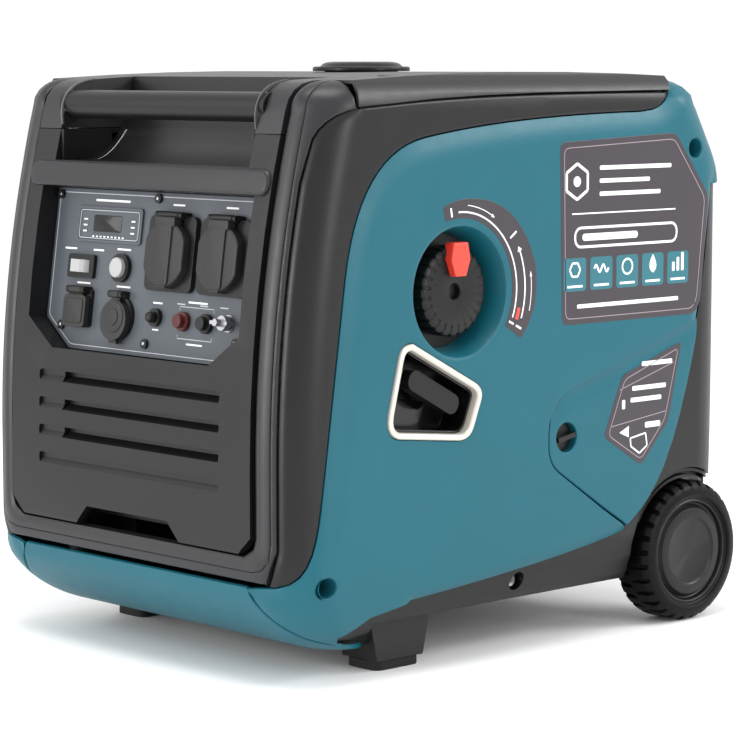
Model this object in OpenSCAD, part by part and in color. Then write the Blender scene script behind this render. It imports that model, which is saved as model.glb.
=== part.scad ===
// Closed-frame inverter generator on two wheels, with a pull-up handle.
// Millimetres, +Z up. The control panel faces -Y and the starter side is +X.
// The origin is the bottom centre of the bounding box.

/* [Body] */
// Width over the two side shells
body_w = 400; // [396:1:404]
// Distance from the origin to the front face
front_reach = 265; // [263:1:266]
// Distance from the origin to the rear face
rear_reach = 270; // [268:1:272]
// Height of the top cover along its middle
top_z = 484; // [482:1:486]
// Height of the underside of the base tray
base_z = 42; // [41:1:43]
// Wall thickness of the moulded shells
wall_t = 3; // [2.5:0.5:3.5]
// Width of the shut lines between shells
seam = 0.8; // [0.6:0.1:1]

/* [Controls] */
// Lean of the control plate from upright, in degrees
plate_lean = 8; // [7:0.5:9]
// Diameter of the run and choke dial
dial_d = 74; // [70:1:78]

/* [Wheels and feet] */
// Diameter of a wheel
wheel_d = 124; // [120:1:126]
// Width of a tyre
tyre_w = 42; // [38:1:44]
// Height of the axle
axle_z = 62; // [61:1:63]
// Distance of the axle behind the origin
axle_y = 208; // [206:1:210]
// Distance between the middles of the two front feet
foot_track = 304; // [300:1:308]

/* [Handle] */
// Diameter of the grip bar
grip_d = 24; // [22:1:26]
// Distance from the middle to each handle tube
tube_x = 141; // [140:1:142]
// Diameter of a sliding handle tube
tube_d = 16; // [14:1:18]

/* [Hidden] */
$fn = 48;

// Colours
teal = [0.16, 0.45, 0.53];
charcoal = [0.22, 0.22, 0.23];
graphite = [0.30, 0.30, 0.32];
black = [0.08, 0.08, 0.09];
slate = [0.30, 0.33, 0.37];
chrome = [0.80, 0.80, 0.80];
alloy = [0.65, 0.66, 0.68];

half_w = body_w / 2;
far = 600;            // longer than the whole object
run_gap = 0.075;      // radial play of a shaft in its bearing
clear = 0.3;          // play between parts that pass each other

// Body envelope
front_corner_r = 42;
rear_corner_r = 50;
chin_top = 112;       // where the curve under the front face begins
chin_z = 24;          // lowest point of that curve
chin_y = -165;        // where that curve ends
lean_z = 175;         // the front face leans back above this height
lean_r = 1050;        // radius of that lean
brow_z = 452;         // where the front face turns into the top
roll_x = 45;          // roll of the lower side edges, across
roll_z = 60;          // and up

// Seams, seen from the side
shell_x = 146;        // the side shells reach in to here
brace_y = -190;       // the bezel meets the top cover here
deck_end = 205;       // the top cover meets the rear cover here
skirt_z = 117;        // the rear cover meets the base tray here
trim_back = 7;        // the bezel's side seam lies this far behind the front face
panel_x = 156;        // half width of the front panel
bezel_x = 160;        // inner edge of the bezel
sill_z = 105;         // top of the bezel's lower rail

// Control plate: middle point of its face, and its local axes u across, v up, z out
plate_y = -234.8;
plate_z = 321;
plate_t = 3;

// Handle
seat_z = 436;         // top of the fixed columns
grip_y = -217;
grip_z = 457;
tube_y = -206;
tube_z0 = 84;
bracket_x0 = 126;
bracket_y1 = -152;

// Dial, recoil starter and service cover, placed on the side (y, z)
dial_at = [-81, 308];
dial_pit_r = 52;
dial_pit_x = 178;
pull_at = [-107, 228];
pocket_x = 172;
knob_at = [46, 178];

// Engine
crank_z = 168;
rope_r = 60;
case_y = [-28, 80];
case_z = [70, 235];
shaft_r = 12.5;
barrel_at = [0, 26];  // middle of the cylinder barrel
piston_bore_r = 31;
barrel_top = 305;

// ---------- shapes ----------

function bend(a, b, c, n = 6) =
    [for (i = [0:n]) let (t = i / n) (1 - t) * (1 - t) * a + 2 * t * (1 - t) * b + t * t * c];

function oval(c, r, a0, a1, n = 6) =
    [for (i = [0:n]) let (a = a0 + (a1 - a0) * i / n) [c[0] + r[0] * cos(a), c[1] + r[1] * sin(a)]];

function front_y(z) =
    lean_r - front_reach - sqrt(lean_r * lean_r - pow(max(0, z - lean_z), 2));

module along_x(x0, x1) {
    translate([x0, 0, 0]) rotate([90, 0, 90]) linear_extrude(x1 - x0) children();
}

module along_y(y0, y1) {
    translate([0, y1, 0]) rotate([90, 0, 0]) linear_extrude(y1 - y0) children();
}

module rod_x(r, x0, x1, at = [0, 0]) {
    translate([x0, at[0], at[1]]) rotate([0, 90, 0]) cylinder(r = r, h = x1 - x0);
}

module rod_y(r, y0, y1, at = [0, 0]) {
    translate([at[0], y0, at[1]]) rotate([-90, 0, 0]) cylinder(r = r, h = y1 - y0);
}

module rod_z(r, z0, z1, at = [0, 0]) {
    translate([at[0], at[1], z0]) cylinder(r = r, h = z1 - z0);
}

module block(x, y, z) {
    translate([x[0], y[0], z[0]]) cube([x[1] - x[0], y[1] - y[0], z[1] - z[0]]);
}

module soft_rect(w, h, r) {
    square([w - 2 * r, h], center = true);
    square([w, h - 2 * r], center = true);
    for (i = [-1, 1], j = [-1, 1]) translate([i * (w / 2 - r), j * (h / 2 - r)]) circle(r);
}

module both_sides() {
    children();
    mirror([1, 0, 0]) children();
}

// Turns children drawn flat into the leaning frame of the control plate
module on_plate(u = 0, v = 0, z = 0) {
    translate([0, plate_y, plate_z]) rotate([90 - plate_lean, 0, 0]) translate([u, v, z]) children();
}

// ---------- body envelope ----------

// Outline of the body from the side, [y, z]
function side_outline() = concat(
    oval([chin_y, chin_top], [front_reach + chin_y, chin_top - chin_z], 270, 180, 8),
    [for (i = [0:6]) let (z = lean_z + (brow_z - lean_z) * i / 6) [front_y(z), z]],
    bend([front_y(brow_z + 2), brow_z + 2], [-222, 476], [-198, top_z - 6], 4),
    bend([-190, top_z - 5.6], [0, top_z + 5.6], [196, top_z - 3.6], 6),
    bend([200, top_z - 4], [224, 476], [234, 458], 3),
    bend([262, 410], [rear_reach, 396], [rear_reach - 1, 376], 3),
    [[rear_reach - 25, 130]],
    bend([244, 96], [238, base_z], [205, base_z], 3),
    [[chin_y + 8, base_z], [chin_y + 6, chin_z]]
);

// Outline of the right half of the body from the front, [x, z]
function end_outline() = concat(
    [[0, chin_z - 1]],
    oval([half_w - roll_x, chin_z + roll_z], [roll_x, roll_z], 270, 360, 5),
    bend([half_w, 460], [half_w, 480], [half_w - 20, top_z + 2], 4),
    [[0, top_z + 6]]
);

module plan(o) {
    fr = front_corner_r - o;
    rr = rear_corner_r - o;
    fy = -front_reach + front_corner_r;
    ry = rear_reach - rear_corner_r;
    translate([-half_w + o, fy]) square([body_w - 2 * o, ry - fy]);
    translate([-half_w + front_corner_r, -front_reach + o])
        square([body_w - 2 * front_corner_r, front_corner_r]);
    translate([-half_w + rear_corner_r, ry]) square([body_w - 2 * rear_corner_r, rr]);
    for (s = [-1, 1]) {
        translate([s * (half_w - front_corner_r), fy]) circle(fr);
        translate([s * (half_w - rear_corner_r), ry]) circle(rr);
    }
}

// The body as one solid, drawn in by o
module envelope(o = 0) {
    intersection() {
        along_x(-half_w + o, half_w - o) offset(delta = -o) polygon(side_outline());
        linear_extrude(far) plan(o);
        along_y(-far / 2, far / 2) offset(delta = -o) {
            polygon(end_outline());
            mirror([1, 0]) polygon(end_outline());
        }
    }
}

module skin(t, o = 0) {
    difference() {
        envelope(o);
        envelope(o + t);
    }
}

// ---------- seam lines ----------

// The coloured side panel from the side, [y, z]
function shell_outline() = concat(
    bend([-300, 66], [-236, 80], [-228, 150], 6),
    bend([-203, 325], [-196, 425], [-110, 432], 7),
    bend([-30, 444], [60, 449], [140, 450], 3),
    bend([150, 451], [170, 452], [181, 468], 4),
    [[190, 520], [300, 520], [300, 386], [237, 386]],
    bend([236, 372], [218, 240], [184, 163], 5),
    bend([180, 156], [164, 118], [122, 90], 4),
    bend([110, 87], [20, 72], [-130, 61], 5),
    [[-175, 54], [-200, 40], [-206, 10], [-300, 10]]
);

// The seam from the foot of the bezel, up the front and back along the top
function crown_line() = concat(
    [for (i = [0:7]) let (z = 66 + 49 * i) [front_y(z) + trim_back, z]],
    bend([-226, 425], [-220, 452], [brace_y, 456], 4),
    bend([-150, 459.5], [-60, 468], [195, 468], 5)
);

module shell_zone(grow = 0) {
    offset(delta = grow) polygon(shell_outline());
}

module crown_zone() {
    polygon(concat(crown_line(), [[195, 440], [-60, 300], [-210, 110], [-258, 60]]));
}

module service_zone(grow = 0) {
    offset(delta = grow) polygon(concat(
        [[260, 283], [67, 222]],
        bend([55, 219], [24, 210], [24, 182], 4),
        bend([24, 170], [25, 156], [38, 148], 3),
        [[122, 94], [170, 60], [260, 100]]
    ));
}

module chin_zone(grow = 0) {
    offset(delta = grow) polygon([[-137, 96], [137, 96], [190, 12], [-190, 12]]);
}

// Starter opening from the side, [y, z], drawn in or out by grow
module pull_zone(grow = 0) {
    offset(delta = grow) polygon(concat(
        bend([-136, 268], [-147, 268], [-149, 258], 2),
        bend([-160, 214], [-163, 199], [-150, 196], 3),
        bend([-84, 189], [-72, 188], [-68, 198], 3),
        bend([-60, 218], [-56, 227], [-66, 232], 3)
    ));
}

// ---------- outer shells ----------

screw_spots = [[-226, 84], [209, 418]];
base_screw = [-3, 60];
well_r = 8;

// A round well in the side wall with a floor for a screw head
module screw_boss(at, x1) {
    intersection() {
        rod_x(well_r + 2, 176, half_w, at);
        envelope(x1);
    }
}

module screw_hole(at) {
    rod_x(well_r, 183, half_w + 20, at);
    rod_x(3, 170, 190, at);
}

module side_shell() {
    difference() {
        union() {
            intersection() {
                skin(wall_t);
                along_x(shell_x, half_w + 1) shell_zone();
            }
            for (p = screw_spots) screw_boss(p, 0.5);
        }
        for (p = screw_spots) screw_hole(p);
        along_y(-far / 2, chin_y + 15) chin_zone(seam);
    }
}

module side_shell_right() {
    color(teal) difference() {
        union() {
            side_shell();
            intersection() {
                rod_x(dial_pit_r + wall_t, dial_pit_x + 2, half_w, dial_at);
                envelope(0.2);
            }
        }
        translate([dial_pit_x, dial_at[0], dial_at[1]]) rotate([0, 90, 0])
            cylinder(r1 = dial_pit_r - 5, r2 = dial_pit_r + 1, h = half_w - dial_pit_x + 0.01);
        along_x(shell_x, half_w + 1) pull_zone(2);
        along_x(shell_x, half_w + 1) service_zone(seam);
    }
}

louvres = 5;
louvre_pitch = 18;

module side_shell_left() {
    color(teal) mirror([1, 0, 0]) difference() {
        side_shell();
        for (i = [0:louvres - 1])
            translate([shell_x, 20 + 6 * i, 150 + louvre_pitch * i]) rotate([90, 0, 90])
                linear_extrude(far) soft_rect(110, 7, 3.4);
    }
}

module side_trims() {
    color(charcoal) both_sides() intersection() {
        skin(wall_t);
        along_x(shell_x, half_w + 1) difference() {
            crown_zone();
            shell_zone(seam);
        }
    }
}

module front_chin() {
    color(teal) intersection() {
        skin(wall_t);
        along_x(-half_w, half_w) shell_zone();
        along_y(-far / 2, chin_y) chin_zone();
    }
}

// Region in front of the bezel's side seam
module bezel_side_zone() {
    difference() {
        polygon(concat(
            [[-300, 60], [-262, 60]],
            [for (p = crown_line()) if (p[0] < brace_y - 1) p - [seam, 0]],
            [[brace_y, 458], [brace_y, 520], [-300, 520]]
        ));
        shell_zone(seam);
    }
}

module bezel_frame(grow = 0) {
    frame_x = 187;
    frame_z = 84;
    corner = 16;
    offset(delta = grow) polygon(concat(
        [[-frame_x, far]],
        oval([-frame_x + corner, frame_z + corner], [corner, corner], 180, 270, 5),
        oval([frame_x - corner, frame_z + corner], [corner, corner], 270, 360, 5),
        [[frame_x, far]]
    ));
}

module front_bezel() {
    depth = 9;
    groove = 0.5;
    groove_deep = 1.8;
    color(graphite) difference() {
        intersection() {
            skin(depth);
            along_x(-half_w - 1, half_w + 1) bezel_side_zone();
        }
        intersection() {
            skin(groove_deep, -1);
            along_y(-far / 2, -150) difference() {
                bezel_frame(groove);
                bezel_frame(-groove);
            }
        }
        along_y(-far / 2, 0) polygon(concat(
            [[-bezel_x, 520], [-bezel_x, 120]],
            [[-bezel_x + 15, sill_z], [bezel_x - 15, sill_z], [bezel_x, 120], [bezel_x, 520]]
        ));
    }
}

recess_x = 137.5;
recess_z = [249, 388];

module recess_outline(grow = 0) {
    offset(delta = grow) polygon([
        [-recess_x, 66], [-recess_x, -46], [-102, -71],
        [102, -71], [recess_x, -46], [recess_x, 66]
    ]);
}

// Air slots in the lower front, from the bottom up
slots = 4;
slot_pitch = 23.5;
slot_z0 = 159;
slot_w = 236;
slot_h = 9.5;
slot_deep_x = -86;    // the slots above the lowest one are deep from here on

// One slot: its floor slopes up and back from the lower edge to its full depth
module slot_form(z, x0, x1, depth) {
    half_h = slot_h / 2;
    intersection() {
        translate([0, 0, z]) along_y(-far / 2, -200) soft_rect(slot_w, slot_h, 3);
        along_x(x0, x1) polygon([
            [-far / 2, z - half_h], [front_y(z), z - half_h + 0.3], [front_y(z) + depth, z],
            [front_y(z) + depth, z + slot_h], [-far / 2, z + slot_h]
        ]);
    }
}

module slot_cut() {
    deep = 8.5;
    shallow = 3;
    end_x = slot_w / 2 + 1;
    for (i = [0:slots - 1]) {
        z = slot_z0 + slot_pitch * i;
        slot_form(z, -end_x, end_x, shallow);
        if (i > 0) slot_form(z, slot_deep_x, end_x, deep);
    }
}

module front_panel() {
    thick = 10;
    scoop_t = 2.5;
    scoop = bend([-226, 409], [-160, 411], [-154, 479], 8);
    color(charcoal) {
        difference() {
            union() {
                // the moulded face, its columns and the notch in its lower edge
                difference() {
                    intersection() {
                        skin(thick);
                        along_x(-panel_x, panel_x) polygon([[-300, 100], [-200, 100], [-200, 500], [-300, 500]]);
                        along_y(-far / 2, 0) polygon([
                            [-panel_x, seat_z], [-panel_x, 122], [-141, 108],
                            [141, 108], [panel_x, 122], [panel_x, seat_z]
                        ]);
                    }
                    along_y(-far / 2, 0)
                        polygon([[-71, 100], [-71, 104.5], [-53, 123.5], [53, 123.5], [71, 104.5], [71, 100]]);
                    slot_cut();
                    block([-bracket_x0, bracket_x0], [-far, 0], [405, far]);
                }
                // walls of the control recess
                intersection() {
                    on_plate(0, 0, -plate_t) linear_extrude(60) recess_outline(wall_t);
                    envelope(0.5);
                }
                // crossbar over the recess
                intersection() {
                    block([-150, 150], [-260, -222], [388, 410]);
                    envelope(0);
                }
            }
            on_plate(0, 0, -20) linear_extrude(120) recess_outline();
        }
        // scooped wall behind the grip bar, and the cheeks beside it
        along_x(-bracket_x0 + 4, bracket_x0 - 4)
            polygon(concat(scoop, [for (i = [len(scoop) - 1:-1:0]) scoop[i] + [scoop_t, -scoop_t / 4]]));
        both_sides() along_x(bracket_x0 - 4, bracket_x0 - 1)
            polygon(concat(scoop, [[-154 + scoop_t, 478], [-154 + scoop_t, 405], [-226, 405]]));
        // side walls that hide the handle tubes below the brackets
        both_sides() block([bracket_x0 - 4, bracket_x0 - 1], [-232, -180], [406, seat_z]);
        // seats that carry the handle brackets
        both_sides() difference() {
            block([bracket_x0 - 1, panel_x], [-222, bracket_y1], [seat_z - 4, seat_z]);
            rod_z(tube_d / 2 + 0.4, 0, far, [tube_x, tube_y]);
        }
    }
}

module top_cover() {
    mouth_r = 34;
    color(graphite) difference() {
        intersection() {
            skin(wall_t);
            along_x(-half_w - 1, half_w + 1) polygon(concat(
                [[brace_y + seam, 457 + seam]],
                [for (p = bend([-150, 459.5], [-60, 468], [195, 468], 5)) p + [0, seam]],
                [[deck_end, 468 + seam], [deck_end, 520], [brace_y + seam, 520]]
            ));
        }
        for (s = [0, 1]) mirror([s, 0, 0]) along_x(shell_x - seam, half_w + 2) shell_zone(seam);
        block([-panel_x - 2, panel_x + 2], [-far, bracket_y1 + 1], [0, far]);
        rod_z(mouth_r, 400, far);
    }
}

exhaust_at = [-62, 214];
grille_rows = 7;
grille_pitch = 15;

module rear_cover() {
    color(charcoal) difference() {
        intersection() {
            skin(wall_t);
            along_x(-half_w - 1, half_w + 1)
                polygon([
                    [deck_end + seam, 520], [300, 520], [300, skirt_z + seam],
                    [125, skirt_z + seam], [deck_end + seam, 440]
                ]);
        }
        for (s = [0, 1]) mirror([s, 0, 0]) {
            along_x(shell_x - seam, half_w + 2) shell_zone(seam);
            rod_x(74, 120, half_w + 2, [axle_y, axle_z]);
        }
        rod_y(20, 0, far, exhaust_at);
        for (i = [0:grille_rows - 1])
            translate([52, 0, 160 + grille_pitch * i]) along_y(200, 300) soft_rect(120, 6, 2.9);
    }
}

module base_tray() {
    arch_r = 70;
    arch_x = 158;
    boss_r = 14;
    color(black) difference() {
        union() {
            difference() {
                intersection() {
                    skin(wall_t, 2);
                    along_x(-half_w, half_w) difference() {
                        polygon([[-205, 0], [300, 0], [300, skirt_z], [120, skirt_z], [-150, 90], [-205, 60]]);
                        shell_zone(seam);
                    }
                }
                both_sides() rod_x(arch_r + 1, arch_x - 2, half_w, [axle_y, axle_z]);
            }
            both_sides() difference() {
                intersection() {
                    rod_x(arch_r + 3, arch_x - 3, half_w - 4, [axle_y, axle_z]);
                    envelope(2);
                }
                rod_x(arch_r, arch_x, half_w, [axle_y, axle_z]);
            }
            both_sides() rod_x(boss_r, arch_x - 30, arch_x, [axle_y, axle_z]);
            both_sides() screw_boss(base_screw, 2.5);
        }
        rod_x(axle_r, -half_w, half_w, [axle_y, axle_z]);
        both_sides() screw_hole(base_screw);
    }
}

module service_cover() {
    color(teal) difference() {
        union() {
            intersection() {
                skin(wall_t);
                along_x(shell_x, half_w + 1) intersection() {
                    service_zone();
                    shell_zone(-0.2);
                }
            }
            rod_x(15, half_w - 10, half_w - 0.5, knob_at);
        }
        rod_x(12.5, half_w - 6, half_w + 1, knob_at);
        rod_x(4 + run_gap, half_w - 20, half_w, knob_at);
    }
}

module service_knob() {
    color(black) {
        rod_x(12, half_w - 5.7, half_w - 2, knob_at);
        rod_x(4, half_w - 17, half_w - 5, knob_at);
        rod_x(7, half_w - 14, half_w - 11, knob_at);
        translate([half_w - 3, knob_at[0], knob_at[1]]) rotate([10, 0, 0])
            translate([0, -10.5, -2]) cube([8, 21, 4]);
    }
}

module shell_screws() {
    spots = concat(screw_spots, [base_screw]);
    color(alloy) both_sides() for (p = spots) difference() {
        union() {
            rod_x(5, 183, 187, p);
            rod_x(2.5, 168, 183, p);
        }
        translate([185, p[0], p[1]]) rotate([0, 90, 0]) cylinder(r = 2.6, h = 3, $fn = 6);
    }
}

// ---------- control plate ----------

ac_u = [26, 93];
ac_v = 16;
ac_lid = [50, 54];
flap_at = [-90, -35];
flap_size = [30, 32];
cap_at = [-36, -40];
rocker_at = [-92.5, 0];
rocker_r = 11.6;
button_at = [-40, 1];
button_r = 8.5;
breaker_at = [11, -37];
breaker_r = 4.5;
posts_u = [47, 76];
post_v = -38;
earth_at = [103, -36];
screw_uv = [[-131, 60], [0, 60.5], [131, 60], [-114, -51], [0, -59.5], [114, -51]];
pin_r = 1.5;
barrel_r = 3.3;

module plate_outline() {
    difference() {
        polygon([[-137, 65.5], [-137, -45], [-102, -70], [102, -70], [137, -45], [137, 65.5]]);
        for (p = screw_uv) translate(p) circle(2);
    }
}

module control_plate() {
    color(slate) on_plate(0, 0, -plate_t) linear_extrude(plate_t) difference() {
        plate_outline();
        for (u = ac_u) translate([u, ac_v]) circle(23.3);
        translate(flap_at) circle(12.3);
        translate(cap_at) circle(15.3);
        translate(rocker_at) square([30.6, 15.6], center = true);
        translate(button_at) circle(10.3);
        translate(breaker_at) circle(6.3);
        for (u = posts_u) translate([u, post_v]) circle(5.3);
        translate(earth_at) circle(3.3);
    }
}

module display_module() {
    color(black) on_plate(-61, 36, 0) difference() {
        linear_extrude(2) soft_rect(86, 30, 3);
        translate([0, 0, 1.2]) linear_extrude(2) soft_rect(82, 26, 2);
        translate([0, 0, 0.6]) linear_extrude(2) translate([-3, -2]) square([36, 11], center = true);
    }
}

module switch_housings() {
    color(black) {
        on_plate(rocker_at[0], rocker_at[1]) difference() {
            union() {
                linear_extrude(3.5) soft_rect(35, 20, 2.5);
                translate([0, 0, -16]) linear_extrude(17) square([30, 15], center = true);
            }
            translate([0, 0, -13]) linear_extrude(30) square([24, 11.4], center = true);
            rotate([90, 0, 0]) cylinder(r = pin_r + run_gap, h = 13.4, center = true);
        }
        on_plate(button_at[0], button_at[1]) difference() {
            union() {
                cylinder(r = 12, h = 4);
                translate([0, 0, -14]) cylinder(r = 10, h = 15);
            }
            translate([0, 0, -11]) cylinder(r = button_r + run_gap, h = 30);
        }
        on_plate(breaker_at[0], breaker_at[1]) difference() {
            union() {
                cylinder(r = 7.5, h = 3.5);
                translate([0, 0, -12]) cylinder(r = 6, h = 13);
            }
            translate([0, 0, -9]) cylinder(r = breaker_r + run_gap, h = 30);
        }
    }
}

module engine_rocker() {
    color(chrome) on_plate(rocker_at[0], rocker_at[1]) {
        difference() {
            rotate([90, 0, 0]) cylinder(r = rocker_r, h = 10.8, center = true);
            translate([-20, -10, -30]) cube([40, 20, 22]);
            translate([0, -10, 5]) rotate([0, -16, 0]) cube([20, 20, 20]);
            translate([0, -10, 5]) rotate([0, -74, 0]) cube([20, 20, 20]);
        }
        rotate([90, 0, 0]) cylinder(r = pin_r, h = 13, center = true);
    }
}

module start_button() {
    color(chrome) on_plate(button_at[0], button_at[1], -6) cylinder(r = button_r, h = 14);
}

module breaker_button() {
    color(black) on_plate(breaker_at[0], breaker_at[1], -6) cylinder(r = breaker_r, h = 13);
}

// Two lugs and a hinge pin standing on a flange of height zt, at the top of a lid
module hinge_lugs(w, v, zt) {
    axis_z = zt + barrel_r + clear;
    for (s = [-1, 1]) {
        translate([s * (w / 2 - 2) - 2, v - 3, 0]) cube([4, 6, axis_z]);
        translate([s * (w / 2 - 2) - 2, v, axis_z]) rotate([0, 90, 0]) cylinder(r = 3, h = 4);
    }
    translate([-w / 2 + 1, v, axis_z]) rotate([0, 90, 0]) cylinder(r = pin_r, h = w - 2);
}

// The barrel and web that a lid turns on; the lid itself is drawn by the caller
module hinge_barrel(w, v, zt) {
    axis_z = zt + barrel_r + clear;
    inner = w - 8 - 2 * clear;
    difference() {
        union() {
            translate([-inner / 2, v, axis_z]) rotate([0, 90, 0]) cylinder(r = barrel_r, h = inner);
            translate([-inner / 2, v - 6, zt + clear]) cube([inner, 6, 3]);
        }
        translate([-w / 2, v, axis_z]) rotate([0, 90, 0]) cylinder(r = pin_r + run_gap, h = w);
    }
}

ac_flange_t = 5;
ac_hinge_v = 31;
ac_hinge_w = 34;

module ac_sockets() {
    cup_r = 19.5;
    contact_gap = 9.5;
    color(black) for (u = ac_u) on_plate(u, ac_v) {
        difference() {
            union() {
                linear_extrude(ac_flange_t) soft_rect(60, 62, 6);
                translate([0, 0, -24]) cylinder(r = 23, h = 25);
            }
            translate([0, 0, -12]) cylinder(r = cup_r, h = 20);
            for (s = [-1, 1]) translate([s * contact_gap, 0, -22]) cylinder(r = 2.5, h = 20);
        }
        translate([0, 3, 0]) hinge_lugs(ac_hinge_w, ac_hinge_v - 3, ac_flange_t);
    }
}

module ac_lid(u) {
    lid_t = 7;
    v = ac_hinge_v;
    color(black) on_plate(u, ac_v) {
        hinge_barrel(ac_hinge_w, v, ac_flange_t);
        translate([0, -0.6, ac_flange_t + clear]) linear_extrude(lid_t)
            soft_rect(ac_lid[0], ac_lid[1], 8);
    }
}

module ac_lid_1() { ac_lid(ac_u[0]); }

module ac_lid_2() { ac_lid(ac_u[1]); }

dc_flange_t = 3;
flap_hinge_v = 15;
cap_r = 17;
cap_hinge_v = 19;

module dc_outlets() {
    color(black) {
        on_plate(flap_at[0], flap_at[1]) {
            difference() {
                union() {
                    linear_extrude(dc_flange_t) soft_rect(flap_size[0] + 2, flap_size[1], 3);
                    translate([0, 0, -26]) cylinder(r = 12, h = 27);
                }
                translate([0, 0, -22]) cylinder(r = 10.5, h = 40);
            }
            hinge_lugs(24, flap_hinge_v, dc_flange_t);
        }
        on_plate(cap_at[0], cap_at[1]) {
            difference() {
                union() {
                    cylinder(r = 18.5, h = dc_flange_t);
                    translate([0, 0, -18]) cylinder(r = 15, h = 19);
                }
                translate([0, 0, -14]) cylinder(r = 12, h = 30);
            }
            translate([-9, cap_hinge_v - 6, 0]) cube([18, 9, dc_flange_t]);
            hinge_lugs(18, cap_hinge_v, dc_flange_t);
        }
    }
}

module dc_flap() {
    color(charcoal) on_plate(flap_at[0], flap_at[1]) {
        hinge_barrel(24, flap_hinge_v, dc_flange_t);
        translate([0, -3.2, dc_flange_t + clear]) linear_extrude(5) soft_rect(flap_size[0], 27, 4);
    }
}

module round_cap() {
    color(charcoal) on_plate(cap_at[0], cap_at[1]) {
        hinge_barrel(18, cap_hinge_v, dc_flange_t);
        translate([0, -2.6, dc_flange_t + clear]) cylinder(r = cap_r, h = 5);
        translate([-5, -cap_r - 5, dc_flange_t + clear]) cube([10, 8, 3]);
    }
}

module parallel_terminals() {
    color([0.55, 0.10, 0.10]) for (u = posts_u) on_plate(u, post_v) {
        cylinder(r = 8, h = 4);
        cylinder(r = 5.5, h = 9);
        translate([0, 0, -14]) cylinder(r = 5, h = 15);
    }
}

module ground_terminal() {
    color([0.72, 0.45, 0.30]) on_plate(earth_at[0], earth_at[1]) {
        translate([0, 0, -10]) cylinder(r = 3, h = 26);
        cylinder(r = 7, h = 1.5);
        translate([0, 0, 3]) cylinder(r = 6, h = 6);
        for (s = [-1, 1]) translate([s * 7 - 3.5, -1.5, 4]) cube([7, 3, 8]);
    }
}

module panel_screws() {
    color(alloy) for (p = screw_uv) on_plate(p[0], p[1]) difference() {
        union() {
            cylinder(r = 4, h = 2.4);
            translate([0, 0, -10]) cylinder(r = 1.9, h = 11);
        }
        translate([-0.6, -2.5, 1.2]) cube([1.2, 5, 2]);
        translate([-2.5, -0.6, 1.2]) cube([5, 1.2, 2]);
    }
}

// ---------- dial ----------

knob_x = [dial_pit_x + 4, half_w + 2];

module dial_knob() {
    ribs = 14;
    stem_r = 5;
    color(black) difference() {
        union() {
            rod_x(dial_d / 2, knob_x[0], knob_x[1] - 6, dial_at);
            rod_x(dial_d / 2 - 6, knob_x[1] - 7, knob_x[1], dial_at);
            rod_x(stem_r, dial_pit_x - 28, knob_x[0] + 1, dial_at);
        }
        for (i = [0:ribs - 1]) translate([0, dial_at[0], dial_at[1]]) rotate([360 / ribs * (i + 0.5), 0, 0])
            translate([knob_x[0] - 1, -2.5, dial_d / 2 - 5]) cube([far, 5, 20]);
        rod_x(6, knob_x[1] - 8, far, dial_at);
        translate([0, dial_at[0], dial_at[1]]) translate([knob_x[1] - 8, -11, 12]) cube([far, 22, 40]);
    }
}

module dial_pointer() {
    color([0.85, 0.12, 0.08]) translate([knob_x[1] - 8, dial_at[0], dial_at[1]]) rotate([90, 0, 90])
        linear_extrude(11) polygon([[-6, 12.5], [6, 12.5], [10.8, 26], [8, 40], [-8, 40], [-10.8, 26]]);
}

// Black floor of the dial pit, with the fuel valve and choke lever box behind it
module fuel_valve() {
    color(black) difference() {
        union() {
            rod_x(dial_pit_r - 5.2, dial_pit_x - 2, dial_pit_x, dial_at);
            rod_x(24, dial_pit_x - 26, dial_pit_x - 1, dial_at);
        }
        rod_x(5 + run_gap, dial_pit_x - 40, dial_pit_x + 2, dial_at);
    }
}

// ---------- recoil starter ----------

module starter_bezel() {
    color([0.85, 0.83, 0.76]) along_x(half_w - 8, half_w + 1) difference() {
        pull_zone(1.5);
        pull_zone(-3.5);
    }
}

module starter_pocket() {
    color(black) difference() {
        along_x(pocket_x, half_w - 0.5) pull_zone(-3.7);
        along_x(pocket_x + 2, half_w) pull_zone(-5.7);
        rod_x(4, pocket_x - 5, pocket_x + 5, pull_at);
    }
}

module starter_grip() {
    grip_x = [pocket_x + 6, half_w + 2];
    color(black) {
        translate([grip_x[1] - 14, pull_at[0], pull_at[1]]) rotate([90, 0, 90]) rotate(-28)
            linear_extrude(12) soft_rect(62, 17, 8);
        rod_x(8, grip_x[0], grip_x[1] - 10, pull_at);
    }
}

module starter_rope() {
    color([0.1, 0.1, 0.1]) rod_x(2.5, 4, pocket_x + 6, pull_at);
}

reel_at = [0, crank_z];

module starter_reel() {
    y0 = pull_at[0] - 8;
    groove = rope_r - 3;
    color(charcoal) difference() {
        translate([0, y0, crank_z]) rotate([-90, 0, 0]) rotate_extrude() polygon([
            [6 + run_gap, 0], [rope_r - 1, 0], [rope_r - 1, 3], [groove - 6, 4], [groove - 6, 12],
            [rope_r - 1, 13], [rope_r - 1, 16], [6 + run_gap, 16]
        ]);
        for (i = [0:5]) rotate_about_crank(60 * i) rod_y(9, y0 - 1, y0 + 20, [30, 0]);
    }
}

module rotate_about_crank(a) {
    translate([0, 0, crank_z]) rotate([0, a, 0]) children();
}

module starter_housing() {
    y0 = pull_at[0] - 16;
    color(charcoal) difference() {
        union() {
            rod_y(74, y0, y0 + 4, reel_at);
            difference() {
                rod_y(74, y0, pull_at[0] + 10, reel_at);
                rod_y(70.5, y0 + 1, pull_at[0] + 20, reel_at);
                block([0, 90], [pull_at[0] - 6, pull_at[0] + 6], [pull_at[1] - 6, pull_at[1] + 6]);
            }
            rod_y(6, y0, pull_at[0] + 8, reel_at);
        }
        for (i = [0:11]) rotate_about_crank(30 * i)
            translate([48, 0, 0]) along_y(y0 - 1, y0 + 5) soft_rect(24, 8, 3.9);
    }
}

// ---------- pull-up handle ----------

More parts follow.
